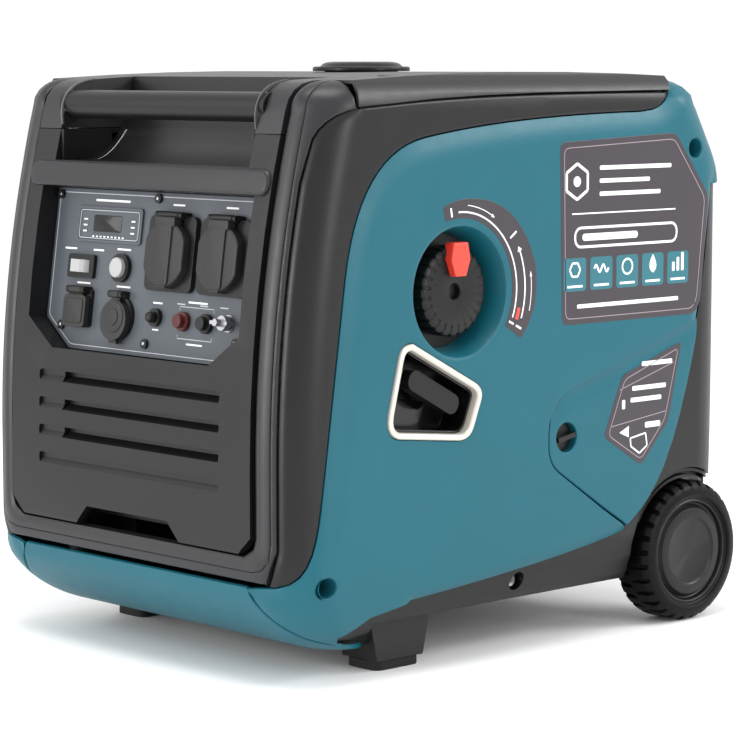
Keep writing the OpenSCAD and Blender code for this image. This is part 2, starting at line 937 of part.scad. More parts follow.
module handle_grip() {
    reach = bracket_x0 + 6;
    color(black) difference() {
        rod_x(grip_d / 2, -reach, reach, [grip_y, grip_z]);
        rod_x(grip_d / 2 - 3, -reach - 1, reach + 1, [grip_y, grip_z]);
    }
}

module handle_brackets() {
    color(graphite) both_sides() difference() {
        intersection() {
            block([bracket_x0, panel_x], [-far, bracket_y1], [seat_z + 0.6, far]);
            envelope(0);
        }
        rod_x(grip_d / 2, 0, bracket_x0 + 6, [grip_y, grip_z]);
        rod_z(tube_d / 2, 0, 466, [tube_x, tube_y]);
    }
}

module handle_tubes() {
    bore = tube_d / 2 - 2;
    color(chrome) both_sides() difference() {
        rod_z(tube_d / 2, tube_z0, 466, [tube_x, tube_y]);
        rod_z(bore, tube_z0 - 1, 450, [tube_x, tube_y]);
    }
}

module handle_guides() {
    color(alloy) both_sides() difference() {
        rod_z(tube_d / 2 + 2, 60, seat_z - 5, [tube_x, tube_y]);
        rod_z(tube_d / 2 + run_gap, 50, seat_z, [tube_x, tube_y]);
    }
}

// ---------- fuel ----------

tank_x = 150;
tank_y = [-85, 190];
tank_z = [350, 452];
neck_r = 28;
neck_top = 476;

module fuel_tank() {
    mid_y = (tank_y[0] + tank_y[1]) / 2;
    len_y = tank_y[1] - tank_y[0];
    color(charcoal) difference() {
        union() {
            translate([0, mid_y, tank_z[0]]) linear_extrude(tank_z[1] - tank_z[0])
                soft_rect(2 * tank_x, len_y, 30);
            rod_z(neck_r, tank_z[1] - 1, neck_top);
        }
        translate([0, mid_y, tank_z[0] + wall_t]) linear_extrude(tank_z[1] - tank_z[0] - 2 * wall_t)
            soft_rect(2 * (tank_x - wall_t), len_y - 2 * wall_t, 27);
        rod_z(neck_r - wall_t, tank_z[1] - 5, far);
    }
}

module cap_gasket() {
    color(black) difference() {
        rod_z(neck_r, neck_top + 0.4, neck_top + 3.4);
        rod_z(neck_r - 4, 0, far);
    }
}

module fuel_cap() {
    z0 = neck_top + 3.8;
    color(black) rotate_extrude() polygon(concat(
        [[0, z0], [neck_r + 0.4, z0], [neck_r + 0.4, z0 - 14], [neck_r + 3.6, z0 - 14], [neck_r + 3.6, z0 + 5]],
        [[42.5, z0 + 5], [42.5, z0 + 8], [41.5, z0 + 9], [36, z0 + 9]],
        bend([35, z0 + 10], [33, z0 + 13], [24, z0 + 13.2], 4),
        [[0, z0 + 13.2]]
    ));
}

// ---------- wheels and feet ----------

axle_r = 6;
tyre_x = 208;
rim_r = 46;

module tyre() {
    r = wheel_d / 2;
    lugs = 24;
    x0 = tyre_x - tyre_w;
    color(black) translate([0, axle_y, axle_z]) rotate([0, 90, 0]) difference() {
        translate([0, 0, x0]) rotate_extrude() polygon([
            [rim_r, 0], [r - 5, 0], [r, 5], [r, tyre_w - 5], [r - 3, tyre_w - 1.5],
            [r - 6, tyre_w], [rim_r + 4, tyre_w], [rim_r, tyre_w - 2]
        ]);
        for (i = [0:lugs - 1]) rotate(360 / lugs * i) {
            translate([r - 3, -2.2, x0 - 1]) cube([10, 4.4, 14]);
            rotate(180 / lugs) translate([r - 3, -2.2, tyre_x - 13]) cube([10, 4.4, 14]);
        }
    }
}

module hub() {
    x0 = tyre_x - tyre_w + 2;
    cap_x = tyre_x - 5;
    seat_x = tyre_x - 13;
    bore = axle_r + run_gap;
    color(charcoal) translate([0, axle_y, axle_z]) rotate([0, 90, 0]) rotate_extrude() polygon([
        [bore, x0], [16, x0], [16, x0 + 16], [40, x0 + 16], [40, x0], [rim_r, x0],
        [rim_r, tyre_x - 3], [43, tyre_x - 5], [39, tyre_x - 6], [37, tyre_x - 3], [35, tyre_x - 2],
        [0, tyre_x - 2], [0, cap_x], [11, cap_x], [11, seat_x], [bore, seat_x]
    ]);
}

module tyre_right() { tyre(); }

module hub_right() { hub(); }

module tyre_left() { mirror([1, 0, 0]) tyre(); }

module hub_left() { mirror([1, 0, 0]) hub(); }

module wheel_axle() {
    clip_x = tyre_x - 12.4;
    end_x = tyre_x - 7;
    color(alloy) {
        rod_x(axle_r, -end_x, end_x, [axle_y, axle_z]);
        both_sides() difference() {
            rod_x(9.5, clip_x, clip_x + 1.6, [axle_y, axle_z]);
            rod_x(axle_r, 0, far, [axle_y, axle_z]);
        }
    }
}

pad_h = 8;
foot_w = 42;
foot_y = [-152, -84];

module front_feet() {
    inset = 8;
    color(black) both_sides() along_x(foot_track / 2 - foot_w / 2, foot_track / 2 + foot_w / 2) polygon([
        [foot_y[0], base_z + 2], [foot_y[0] + inset, pad_h], [foot_y[1] - inset, pad_h], [foot_y[1], base_z + 2]
    ]);
}

module foot_pads() {
    mid_y = (foot_y[0] + foot_y[1]) / 2;
    color(black) both_sides() translate([foot_track / 2, mid_y]) linear_extrude(pad_h)
        soft_rect(foot_w - 4, foot_y[1] - foot_y[0] - 18, 8);
}

// ---------- engine and electrics ----------

floor_z = base_z + 2 + wall_t;

module crankcase() {
    w = 75;
    z = case_z;
    t = 6;
    color(alloy) difference() {
        union() {
            along_y(case_y[0], case_y[1]) translate([0, (z[0] + z[1]) / 2]) soft_rect(2 * w, z[1] - z[0], 16);
            rod_y(30, case_y[0] - 4, case_y[0] + 1, [0, crank_z]);
        }
        along_y(case_y[0] + t, case_y[1] - t) translate([0, (z[0] + z[1]) / 2])
            soft_rect(2 * (w - t), z[1] - z[0] - 2 * t, 12);
        rod_y(shaft_r + run_gap, case_y[0] - 10, case_y[1] + 10, [0, crank_z]);
        rod_z(piston_bore_r, z[1] - 10, z[1] + 5, barrel_at);
    }
}

module cylinder_barrel() {
    fins = 7;
    fin_pitch = 9;
    fin_z = case_z[1] + 6;
    difference() {
        union() {
            rod_z(38, case_z[1], barrel_top, barrel_at);
            for (i = [0:fins - 1]) rod_z(52, fin_z + fin_pitch * i, fin_z + 3 + fin_pitch * i, barrel_at);
        }
        rod_z(piston_bore_r, case_z[1] - 5, barrel_top - 5, barrel_at);
    }
}

// Finned barrel, rocker cover and spark plug
module cylinder_head_parts() {
    translate([0, 26, 305.2]) linear_extrude(32) soft_rect(92, 80, 12);
    rod_y(7, -46, -14.2, [0, 318]);
    rod_y(10, -62, -46, [0, 318]);
}

module cylinder_set() {
    color(alloy) {
        cylinder_barrel();
        cylinder_head_parts();
    }
}

module crankshaft() {
    web_r = 44;
    throw = 24;
    color(chrome) {
        rod_y(shaft_r, -90, 16, [0, crank_z]);
        rod_y(shaft_r, 46, case_y[1] + 6, [0, crank_z]);
        rod_y(web_r, 4, 17, [0, crank_z]);
        rod_y(web_r, 36, 49, [0, crank_z]);
        rod_y(11, 16, 37, [0, crank_z + throw]);
    }
}

module alternator_rotor() {
    blades = 16;
    color([0.25, 0.25, 0.28]) difference() {
        union() {
            rod_y(80, -84, -36, [0, crank_z]);
            for (i = [0:blades - 1]) rotate_about_crank(360 / blades * i)
                translate([44, -95, -1.5]) cube([33, 12, 3]);
        }
        rod_y(66, -80, -30, [0, crank_z]);
        rod_y(shaft_r, -100, 0, [0, crank_z]);
    }
}

module alternator_stator() {
    poles = 12;
    color([0.60, 0.35, 0.18]) difference() {
        union() {
            rod_y(34, -76, -32.2, [0, crank_z]);
            for (i = [0:poles - 1]) rotate_about_crank(360 / poles * i)
                translate([30, -72, -6]) cube([33, 34, 12]);
        }
        rod_y(17, -100, 0, [0, crank_z]);
    }
}

// Hollow can with a tail pipe and a clamp ring
module muffler() {
    can_at = [-40, 205];
    can_y = [112, 222];
    can = [150, 96, 40];
    wall = 2;
    pipe_r = [12, 15];
    pipe_end = 263;
    ring_y = [258.4, 261];
    color([0.45, 0.42, 0.38]) {
        difference() {
            union() {
                along_y(can_y[0], can_y[1]) translate(can_at) soft_rect(can[0], can[1], can[2]);
                rod_y(pipe_r[1], can_y[1] - wall, pipe_end, exhaust_at);
            }
            along_y(can_y[0] + wall, can_y[1] - wall) translate(can_at)
                soft_rect(can[0] - 2 * wall, can[1] - 2 * wall, can[2] - wall);
            rod_y(pipe_r[0], can_y[1] - 22, pipe_end + 40, exhaust_at);
        }
        difference() {
            rod_y(28, ring_y[0], ring_y[1], exhaust_at);
            rod_y(pipe_r[1] + 0.2, 0, far, exhaust_at);
        }
    }
}

module intake() {
    color(charcoal) {
        translate([-142, 76, 240]) linear_extrude(90) soft_rect(66, 110, 10);
        rod_x(16, -108.8, -54, [26, 272]);
        block([-98, -72], [2, 50], [252, 292]);
    }
}

module inverter_module() {
    fins = 12;
    fin_pitch = 16;
    z = [112, 236];
    color(alloy) {
        block([-95, 95], [-232, -200], z);
        for (i = [0:fins - 1]) translate([-92 + fin_pitch * i, 0, 0]) block([0, 4], [-201, -180], z);
    }
}

module battery() {
    case_top = 140;
    terminals_x = [-152, -116];
    color(black) {
        block([-168, -100], [-176, -100], [floor_z, case_top]);
        for (x = terminals_x) rod_z(6, case_top - 1, case_top + 10, [x, -138]);
    }
}

module engine_mounts() {
    color(black) for (x = [-52, 52], y = [-8, 60]) rod_z(13, floor_z, 70, [x, y]);
}

side_shell_right();
side_shell_left();
side_trims();
front_chin();
front_bezel();
front_panel();
top_cover();
rear_cover();
base_tray();
service_cover();
service_knob();
control_plate();
display_module();
switch_housings();
engine_rocker();
start_button();
breaker_button();
ac_sockets();
ac_lid_1();
ac_lid_2();
dc_outlets();
dc_flap();
round_cap();
parallel_terminals();
ground_terminal();
panel_screws();
dial_knob();
dial_pointer();
fuel_valve();
starter_bezel();
starter_pocket();
starter_grip();
starter_rope();
starter_reel();
starter_housing();
handle_grip();
handle_brackets();
handle_tubes();
handle_guides();
fuel_cap();
cap_gasket();
fuel_tank();
tyre_right();
hub_right();
tyre_left();
hub_left();
wheel_axle();
front_feet();
foot_pads();
shell_screws();
muffler();
intake();
crankcase();
cylinder_set();  // cylinder
crankshaft();
alternator_rotor();
alternator_stator();
inverter_module();
battery();
engine_mounts();
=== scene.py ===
"""Looks of the inverter generator: shells, controls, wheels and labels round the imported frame."""

import math

import bmesh
import bpy
import numpy as np
from mathutils import Matrix, Vector
from mathutils.geometry import delaunay_2d_cdt


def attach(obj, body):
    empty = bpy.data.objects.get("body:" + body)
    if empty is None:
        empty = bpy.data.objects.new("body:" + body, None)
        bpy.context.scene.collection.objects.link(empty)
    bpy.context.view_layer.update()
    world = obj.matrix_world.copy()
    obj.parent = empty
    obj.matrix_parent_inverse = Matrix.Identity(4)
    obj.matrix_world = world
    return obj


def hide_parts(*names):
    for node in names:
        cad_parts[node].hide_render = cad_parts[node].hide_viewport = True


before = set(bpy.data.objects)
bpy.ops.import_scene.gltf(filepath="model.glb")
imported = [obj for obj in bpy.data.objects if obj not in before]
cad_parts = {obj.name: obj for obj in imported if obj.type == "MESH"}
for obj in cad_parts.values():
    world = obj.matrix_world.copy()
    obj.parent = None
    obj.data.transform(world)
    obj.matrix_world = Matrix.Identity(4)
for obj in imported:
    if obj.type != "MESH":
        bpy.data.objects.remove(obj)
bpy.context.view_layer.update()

MM = 0.001


# ---------- camera, light and floor ----------

def make_camera():
    """A long lens at the photograph's angle, level, aimed at the middle of the body."""
    azimuth, elevation = math.radians(46.8), math.radians(6.2)
    data = bpy.data.cameras.new("camera")
    data.lens, data.sensor_width = 136.4, 36.0
    cam = bpy.data.objects.new("camera", data)
    bpy.context.scene.collection.objects.link(cam)
    cam.location = (1.788, -1.671, 0.490)
    look = Vector((
        -math.sin(azimuth) * math.cos(elevation),
        math.cos(azimuth) * math.cos(elevation),
        -math.sin(elevation),
    ))
    cam.rotation_mode = "QUATERNION"
    cam.rotation_quaternion = look.to_track_quat("-Z", "Y")
    data.clip_start, data.clip_end = 0.05, 60
    bpy.context.scene.camera = cam


def area_light(name, place, target, size, power, tint=(1, 1, 1)):
    data = bpy.data.lights.new(name, "AREA")
    data.shape, data.size, data.size_y = "RECTANGLE", size[0], size[1]
    data.energy, data.color = power, tint
    lamp = bpy.data.objects.new(name, data)
    bpy.context.scene.collection.objects.link(lamp)
    lamp.location = place
    aim = Vector(target) - Vector(place)
    lamp.rotation_mode = "QUATERNION"
    lamp.rotation_quaternion = aim.to_track_quat("-Z", "Y")


def make_studio():
    world = bpy.data.worlds.new("studio")
    world.use_nodes = True
    back = world.node_tree.nodes["Background"]
    back.inputs["Color"].default_value = (1.0, 1.0, 1.0, 1)
    back.inputs["Strength"].default_value = 1.04
    bpy.context.scene.world = world
    bpy.context.scene.view_settings.view_transform = "Standard"
    middle = (0, 0, 0.26)
    area_light("overhead", (0.3, -0.5, 2.3), middle, (1.4, 0.9), 26)
    area_light("front_left", (-1.6, -2.0, 1.2), middle, (0.5, 1.8), 9)
    area_light("side_strip", (2.7, 0.22, 0.95), middle, (0.35, 1.2), 19)
    area_light("rear_strip", (1.75, 1.95, 1.6), middle, (1.3, 0.5), 30)
    area_light("corner_strip", (-0.5, -2.85, 0.5), middle, (0.28, 1.5), 42)
    data = bpy.data.meshes.new("floor")
    half = 25
    data.from_pydata([(-half, -half, 0), (half, -half, 0), (half, half, 0), (-half, half, 0)], [], [(0, 1, 2, 3)])
    floor = bpy.data.objects.new("floor", data)
    bpy.context.scene.collection.objects.link(floor)
    material = bpy.data.materials.new("pale_floor")
    material.use_nodes = True
    shader = material.node_tree.nodes["Principled BSDF"]
    shader.inputs["Base Color"].default_value = (0.97, 0.97, 0.97, 1)
    shader.inputs["Roughness"].default_value = 0.7
    data.materials.append(material)


# ---------- materials ----------

def add_noise(tree, coords, scale, detail=3.0):
    noise = tree.nodes.new("ShaderNodeTexNoise")
    noise.inputs["Scale"].default_value = scale
    noise.inputs["Detail"].default_value = detail
    tree.links.new(coords, noise.inputs["Vector"])
    return noise


def spread(tree, value, low, high):
    """Maps a noise's middle range to low..high."""
    ramp = tree.nodes.new("ShaderNodeMapRange")
    ramp.inputs["From Min"].default_value = 0.3
    ramp.inputs["From Max"].default_value = 0.7
    ramp.inputs["To Min"].default_value = low
    ramp.inputs["To Max"].default_value = high
    tree.links.new(value, ramp.inputs["Value"])
    return ramp.outputs["Result"]


def surface(name, colour, rough, grain=900, bump=0.08, mottle=0.06, metal=0.0, specular=0.5,
            coat=0.0, painted_edge_highlight=0.0):
    """A moulded or machined finish: mottled colour, uneven gloss, fine grain, and convex edges lightened as a painted
    highlight.
    """
    material = bpy.data.materials.new(name)
    material.use_nodes = True
    tree = material.node_tree
    shader = tree.nodes["Principled BSDF"]
    shader.inputs["Metallic"].default_value = metal
    shader.inputs["Specular IOR Level"].default_value = specular
    shader.inputs["Coat Weight"].default_value = coat
    shader.inputs["Coat Roughness"].default_value = 0.25
    coords = tree.nodes.new("ShaderNodeTexCoord").outputs["Object"]

    broad = add_noise(tree, coords, 14, 4)
    mix = tree.nodes.new("ShaderNodeMix")
    mix.data_type = "RGBA"
    dark = [c * (1 - mottle) for c in colour]
    light = [min(1, c * (1 + mottle) + 0.004 * mottle) for c in colour]
    mix.inputs[6].default_value = (*dark, 1)
    mix.inputs[7].default_value = (*light, 1)
    tree.links.new(spread(tree, broad.outputs["Fac"], 0, 1), mix.inputs["Factor"])
    tint = mix.outputs[2]
    # painted highlight: convex edges, found by pointiness, are mixed towards a paler copy of the colour
    if painted_edge_highlight > 0:
        geometry = tree.nodes.new("ShaderNodeNewGeometry")
        edge = tree.nodes.new("ShaderNodeMapRange")
        edge.inputs["From Min"].default_value = 0.53
        edge.inputs["From Max"].default_value = 0.62
        edge.inputs["To Max"].default_value = painted_edge_highlight
        tree.links.new(geometry.outputs["Pointiness"], edge.inputs["Value"])
        painted_highlight_mix = tree.nodes.new("ShaderNodeMix")
        painted_highlight_mix.data_type = "RGBA"
        painted_highlight_mix.inputs[7].default_value = (*[min(1, c * 1.5 + 0.03) for c in colour], 1)
        tree.links.new(tint, painted_highlight_mix.inputs[6])
        tree.links.new(edge.outputs["Result"], painted_highlight_mix.inputs["Factor"])
        tint = painted_highlight_mix.outputs[2]
    tree.links.new(tint, shader.inputs["Base Color"])

    patch = add_noise(tree, coords, 60, 3)
    tree.links.new(
        spread(tree, patch.outputs["Fac"], max(0.02, rough - 0.025), min(1, rough + 0.025)),
        shader.inputs["Roughness"],
    )
    fine = add_noise(tree, coords, grain, 2)
    relief = tree.nodes.new("ShaderNodeBump")
    relief.inputs["Strength"].default_value = bump
    relief.inputs["Distance"].default_value = 0.0006
    tree.links.new(fine.outputs["Fac"], relief.inputs["Height"])
    tree.links.new(relief.outputs["Normal"], shader.inputs["Normal"])
    return material


# painted_edge_highlight sets how far each finish's convex edges are lightened as a painted highlight
TEAL = surface("teal_plastic", (0.0055, 0.096, 0.130), 0.40, bump=0.05, mottle=0.03, painted_edge_highlight=0.12, specular=0.28)
CHARCOAL = surface("charcoal_plastic", (0.0060, 0.0060, 0.0068), 0.36, bump=0.14, painted_edge_highlight=0.15, specular=0.32)
GRAPHITE = surface("graphite_plastic", (0.013, 0.013, 0.015), 0.40, bump=0.10, mottle=0.03, painted_edge_highlight=0.10, specular=0.42)
BLACK = surface("black_plastic", (0.005, 0.005, 0.005), 0.36, bump=0.08, painted_edge_highlight=0.35, specular=0.28)
GLOSS_BLACK = surface("gloss_black", (0.004, 0.004, 0.004), 0.14, bump=0.02, specular=0.4)
LID_GREY = surface("lid_grey", (0.014, 0.014, 0.014), 0.40, bump=0.08, painted_edge_highlight=0.4, specular=0.34)
SLATE = surface("slate_foil", (0.072, 0.082, 0.094), 0.38, grain=1600, bump=0.04, mottle=0.04, specular=0.3)
RUBBER = surface("soft_rubber", (0.008, 0.008, 0.008), 0.62, bump=0.2, specular=0.25)
TYRE = surface("tyre_rubber", (0.002, 0.002, 0.002), 0.42, grain=500, bump=0.12, painted_edge_highlight=0.1, specular=0.13)
PALE_RING = surface("pale_ring", (0.62, 0.58, 0.52), 0.24, bump=0.02, metal=0.35, coat=0.3)
PALE_GREY = surface("pale_grey", (0.34, 0.34, 0.34), 0.3, bump=0.03)
# painted highlight grey: a pale grey standing in for light caught on dark edges, used on the bracket lips and the
# scoop line; the roof tab uses it too
PAINTED_HIGHLIGHT_GREY = surface("painted_highlight_grey", (0.070, 0.070, 0.073), 0.3, bump=0.05)
RED = surface("red_plastic", (0.80, 0.045, 0.025), 0.36, bump=0.03, painted_edge_highlight=0.2)
DEEP_RED = surface("deep_red_plastic", (0.060, 0.005, 0.005), 0.32, bump=0.03, specular=0.35)
STEEL = surface("zinc_steel", (0.40, 0.41, 0.43), 0.32, metal=1.0, bump=0.05)
CHROME = surface("chrome", (0.47, 0.48, 0.50), 0.14, metal=1.0, bump=0.01, mottle=0.02)
ALLOY = surface("cast_alloy", (0.52, 0.53, 0.55), 0.5, metal=0.9, grain=600, bump=0.25)
FORGED = surface("forged_steel", (0.38, 0.38, 0.40), 0.35, metal=1.0, bump=0.08)
WINDINGS = surface("wound_core", (0.40, 0.16, 0.06), 0.35, grain=350, bump=0.5, metal=0.5)
EXHAUST = surface("exhaust_steel", (0.26, 0.23, 0.20), 0.45, metal=0.8, bump=0.15, mottle=0.25)
CORD = surface("braided_cord", (0.03, 0.03, 0.03), 0.8, grain=1500, bump=0.6)
DECAL_GREY = surface("decal_grey", (0.046, 0.040, 0.047), 0.36, grain=1600, bump=0.03, mottle=0.03, specular=0.3)
DECAL_LINE = surface("decal_line", (0.30, 0.235, 0.27), 0.36, grain=1600, bump=0.02)
PRINT_WHITE = surface("print_white", (0.80, 0.80, 0.80), 0.4, grain=1600, bump=0.02, mottle=0.03)
PRINT_GREY = surface("print_grey", (0.42, 0.44, 0.47), 0.4, grain=1600, bump=0.02)
PRINT_TEAL = surface("print_teal", (0.012, 0.130, 0.165), 0.4, grain=1600, bump=0.02)


# ---------- carried-over nodes ----------

def carry(node, material, edge=0.5, angle=32, segments=2):
    """Gives a CAD node its finish, and rounds its sharp edges by edge millimetres."""
    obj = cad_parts[node]
    data = obj.data
    data.materials.clear()
    data.materials.append(material)
    for face in data.polygons:
        face.material_index = 0
        face.use_smooth = True
    if "custom_normal" in data.attributes:
        data.attributes.remove(data.attributes["custom_normal"])
    weld = obj.modifiers.new("weld", "WELD")
    weld.merge_threshold = 0.00001
    flat = obj.modifiers.new("flat", "DECIMATE")
    flat.decimate_type = "DISSOLVE"
    flat.angle_limit = math.radians(0.6)
    if edge:
        bevel = obj.modifiers.new("edges", "BEVEL")
        bevel.width = edge * MM
        bevel.segments = segments
        bevel.limit_method = "ANGLE"
        bevel.angle_limit = math.radians(angle)
        bevel.use_clamp_overlap = True
        bevel.miter_outer = "MITER_ARC"
    normals = obj.modifiers.new("normals", "WEIGHTED_NORMAL")
    normals.keep_sharp = False
    normals.weight = 80
    return obj


def carry_nodes():
    for node, material, edge in (
        ("side_shell_right", TEAL, 1.2), ("side_shell_left", TEAL, 1.2), ("front_chin", TEAL, 0.8),
        ("service_cover", TEAL, 1.0), ("side_trims", CHARCOAL, 1.3), ("front_bezel", GRAPHITE, 2.0),
        ("front_panel", CHARCOAL, 1.0), ("top_cover", GRAPHITE, 0.8), ("rear_cover", CHARCOAL, 0.8),
        ("base_tray", BLACK, 0.6), ("service_knob", BLACK, 0.5), ("control_plate", SLATE, 0.3),
        ("display_module", SLATE, 0.3), ("switch_housings", BLACK, 0.4), ("engine_rocker", PALE_GREY, 0.3),
        ("start_button", PALE_GREY, 1.2), ("breaker_button", BLACK, 0.8), ("ac_sockets", BLACK, 0.5),
        ("ac_lid_1", LID_GREY, 1.0), ("ac_lid_2", LID_GREY, 1.0), ("dc_outlets", BLACK, 0.4),
        ("dc_flap", LID_GREY, 0.8), ("round_cap", LID_GREY, 0.6), ("parallel_terminals", DEEP_RED, 0.5),
        ("ground_terminal", FORGED, 0.3), ("panel_screws", BLACK, 0.3), ("dial_knob", BLACK, 1.0),
        ("dial_pointer", RED, 1.2), ("fuel_valve", BLACK, 0.4), ("starter_bezel", PALE_RING, 1.2),
        ("starter_pocket", GLOSS_BLACK, 0.6), ("starter_grip", BLACK, 3.0), ("starter_rope", CORD, 0),
        ("starter_reel", CHARCOAL, 0.4), ("starter_housing", CHARCOAL, 0.4), ("handle_grip", BLACK, 0.4),
        ("handle_brackets", GRAPHITE, 1.0), ("handle_tubes", CHROME, 0.3), ("handle_guides", STEEL, 0.3),
        ("fuel_cap", BLACK, 0.8), ("cap_gasket", RUBBER, 0.2), ("fuel_tank", CHARCOAL, 0.6),
        ("tyre_right", TYRE, 0.8), ("tyre_left", TYRE, 0.8), ("hub_right", BLACK, 0.8),
        ("hub_left", BLACK, 0.8), ("wheel_axle", STEEL, 0.3), ("front_feet", BLACK, 1.0),
        ("foot_pads", RUBBER, 0.8), ("shell_screws", STEEL, 0.3), ("muffler", EXHAUST, 0.6),
        ("intake", CHARCOAL, 0.6), ("crankcase", ALLOY, 0.6), ("cylinder", ALLOY, 0.3),
        ("crankshaft", FORGED, 0.3), ("alternator_rotor", FORGED, 0.3), ("alternator_stator", WINDINGS, 0.3),
        ("inverter_module", CHARCOAL, 0.3), ("battery", BLACK, 0.6), ("engine_mounts", RUBBER, 0.6),
    ):
        carry(node, material, edge)


# ---------- mesh helpers ----------

def mesh_piece(name, verts, faces, material, body, replaced=(), smooth_angle=35):
    """A mesh from points in metres, shaded smooth below smooth_angle, riding on a body."""
    data = bpy.data.meshes.new(name)
    data.from_pydata([tuple(v) for v in verts], [], [tuple(f) for f in faces])
    data.update()
    for face in data.polygons:
        face.use_smooth = True
    data.set_sharp_from_angle(angle=math.radians(smooth_angle))
    data.materials.append(material)
    obj = bpy.data.objects.new(name, data)
    bpy.context.scene.collection.objects.link(obj)
    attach(obj, body)
    if replaced:
        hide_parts(*replaced)
    return obj


def bend(a, b, c, count=8):
    """Points of a quadratic curve from a to c, pulled towards b."""
    t = np.linspace(0, 1, count + 1)[:, None]
    a, b, c = (np.asarray(p, float) for p in (a, b, c))
    return ((1 - t) ** 2 * a + 2 * t * (1 - t) * b + t * t * c).tolist()


def resample(loop, step, closed=True):
    """The same line with no stretch longer than step."""
    points = [np.asarray(p, float) for p in loop]
    ends = points[1:] + points[:1] if closed else points[1:]
    out = []
    for p, q in zip(points, ends):
        count = max(1, int(math.ceil(np.linalg.norm(q - p) / step)))
        out += [p + (q - p) * i / count for i in range(count)]
    if not closed:
        out.append(points[-1])
    return np.array(out)


def inside(points, loop):
    """Which points lie inside a closed line."""
    x, y = points[:, 0][:, None], points[:, 1][:, None]
    a = np.asarray(loop, float)
    b = np.roll(a, -1, axis=0)
    crosses = (a[:, 1] > y) != (b[:, 1] > y)
    rise = np.where(np.abs(b[:, 1] - a[:, 1]) < 1e-12, 1e-12, b[:, 1] - a[:, 1])
    at = a[:, 0] + (y - a[:, 1]) / rise * (b[:, 0] - a[:, 0])
    return (np.sum(crosses & (x < at), axis=1) % 2) == 1


def distance(points, line, closed=True):
    """How far each point is from a line."""
    a = np.asarray(line, float)
    b = np.roll(a, -1, axis=0) if closed else a[1:]
    a = a if closed else a[:-1]
    ab = b - a
    length = np.maximum((ab ** 2).sum(axis=1), 1e-12)
    t = np.clip(((points[:, None, :] - a) * ab).sum(axis=2) / length, 0, 1)
    near = a + t[:, :, None] * ab
    return np.sqrt(((points[:, None, :] - near) ** 2).sum(axis=2)).min(axis=1)


# ---------- the body's surface ----------
# A point of the body's skin is given by a, its distance along the body at that height (the side's
# own Y where the side is straight, unrolled round the corners), and b, its height, which goes on
# round the lower and upper rolls. All in millimetres.

HALF_W, FRONT_R, REAR_R = 200.0, 42.0, 50.0
CHIN_TOP, CHIN_RY, CHIN_RZ, CHIN_Y = 112.0, 100.0, 88.0, -165.0
CHIN_ARC = 94.0
LEAN_Z, LEAN_R, FRONT_Y = 175.0, 1050.0, -265.0
BROW, ROLL, BROW_IN, REAR_IN = 456.0, 22.0, 30.0, 35.0
SKIRT_X, SKIRT_Z, SKIRT_TOP = 45.0, 60.0, 84.0
ROOF = np.array(
    bend((-190, 478.4), (0, 489.6), (196, 480.4), 12) + bend((200, 480), (224, 476), (234, 458), 6)
)
REAR = np.array(
    bend((205, 42), (238, 42), (244, 96), 6) + [[245, 130]] + bend((269, 376), (270, 396), (262, 410), 5)
    + [[235, 456]]
)


def lean(z):
    """Where the front face is at a height."""
    over = np.maximum(z - LEAN_Z, 0)
    return LEAN_R + FRONT_Y - np.sqrt(LEAN_R ** 2 - over ** 2)


def section(b):
    """Height, half width, front, rear and corner radii of the body at b."""
    chin = np.clip((CHIN_TOP - b) / CHIN_ARC, 0, math.pi / 2)
    brow = np.clip((b - BROW) / ROLL, 0, math.pi / 2)
    past = np.maximum(b - BROW - ROLL * math.pi / 2, 0)
    z = np.where(b < CHIN_TOP, CHIN_TOP - CHIN_RZ * np.sin(chin), np.minimum(b, BROW))
    under = np.clip((SKIRT_TOP - z) / SKIRT_Z, 0, 1)
    tuck = SKIRT_X * (1 - np.sqrt(1 - under ** 2))
    inset = ROLL * (1 - np.cos(brow)) + past
    wide = HALF_W - tuck - inset
    front = np.where(b < CHIN_TOP, CHIN_Y - CHIN_RY * np.cos(chin), lean(z))
    front = front + BROW_IN * (1 - np.cos(brow)) + past
    rear = np.interp(z, REAR[:, 1], REAR[:, 0]) - REAR_IN * (1 - np.cos(brow)) - past
    front_r = np.maximum(FRONT_R - 0.5 * tuck - inset, 4)
    rear_r = np.maximum(REAR_R - 0.5 * tuck - inset, 4)
    return z, wide, front, rear, front_r, rear_r, brow


def skin_point(a, b):
    z, wide, front, rear, front_r, rear_r, brow = section(b)
    quarter = math.pi / 2
    ahead = front + front_r - a
    phi = np.clip(ahead / front_r, 0, quarter)
    behind = a - (rear - rear_r)
    psi = np.clip(behind / rear_r, 0, quarter)
    x = wide - front_r * (1 - np.cos(phi)) - np.maximum(ahead - front_r * quarter, 0)
    x = x - rear_r * (1 - np.cos(psi)) - np.maximum(behind - rear_r * quarter, 0)
    y = np.where(ahead > 0, front + front_r - front_r * np.sin(phi), a)
    y = np.where(behind > 0, rear - rear_r + rear_r * np.sin(psi), y)
    z = z + (np.interp(y, ROOF[:, 0], ROOF[:, 1]) - BROW) * np.sin(brow)
    return np.stack([x, y, z], axis=-1)


def skin_normal(a, b):
    step = 0.05
    along = skin_point(a + step, b) - skin_point(a - step, b)
    up = skin_point(a, b + step) - skin_point(a, b - step)
    n = np.cross(along, up)
    return n / np.maximum(np.linalg.norm(n, axis=-1, keepdims=True), 1e-9)


def height_to_b(y, z):
    if z < CHIN_TOP:
        return CHIN_TOP - CHIN_ARC * math.asin(min(1, (CHIN_TOP - z) / CHIN_RZ))
    if z <= BROW:
        return z
    roof = float(np.interp(y, ROOF[:, 0], ROOF[:, 1]))
    return BROW + ROLL * math.asin(min(1, (z - BROW) / (roof - BROW)))


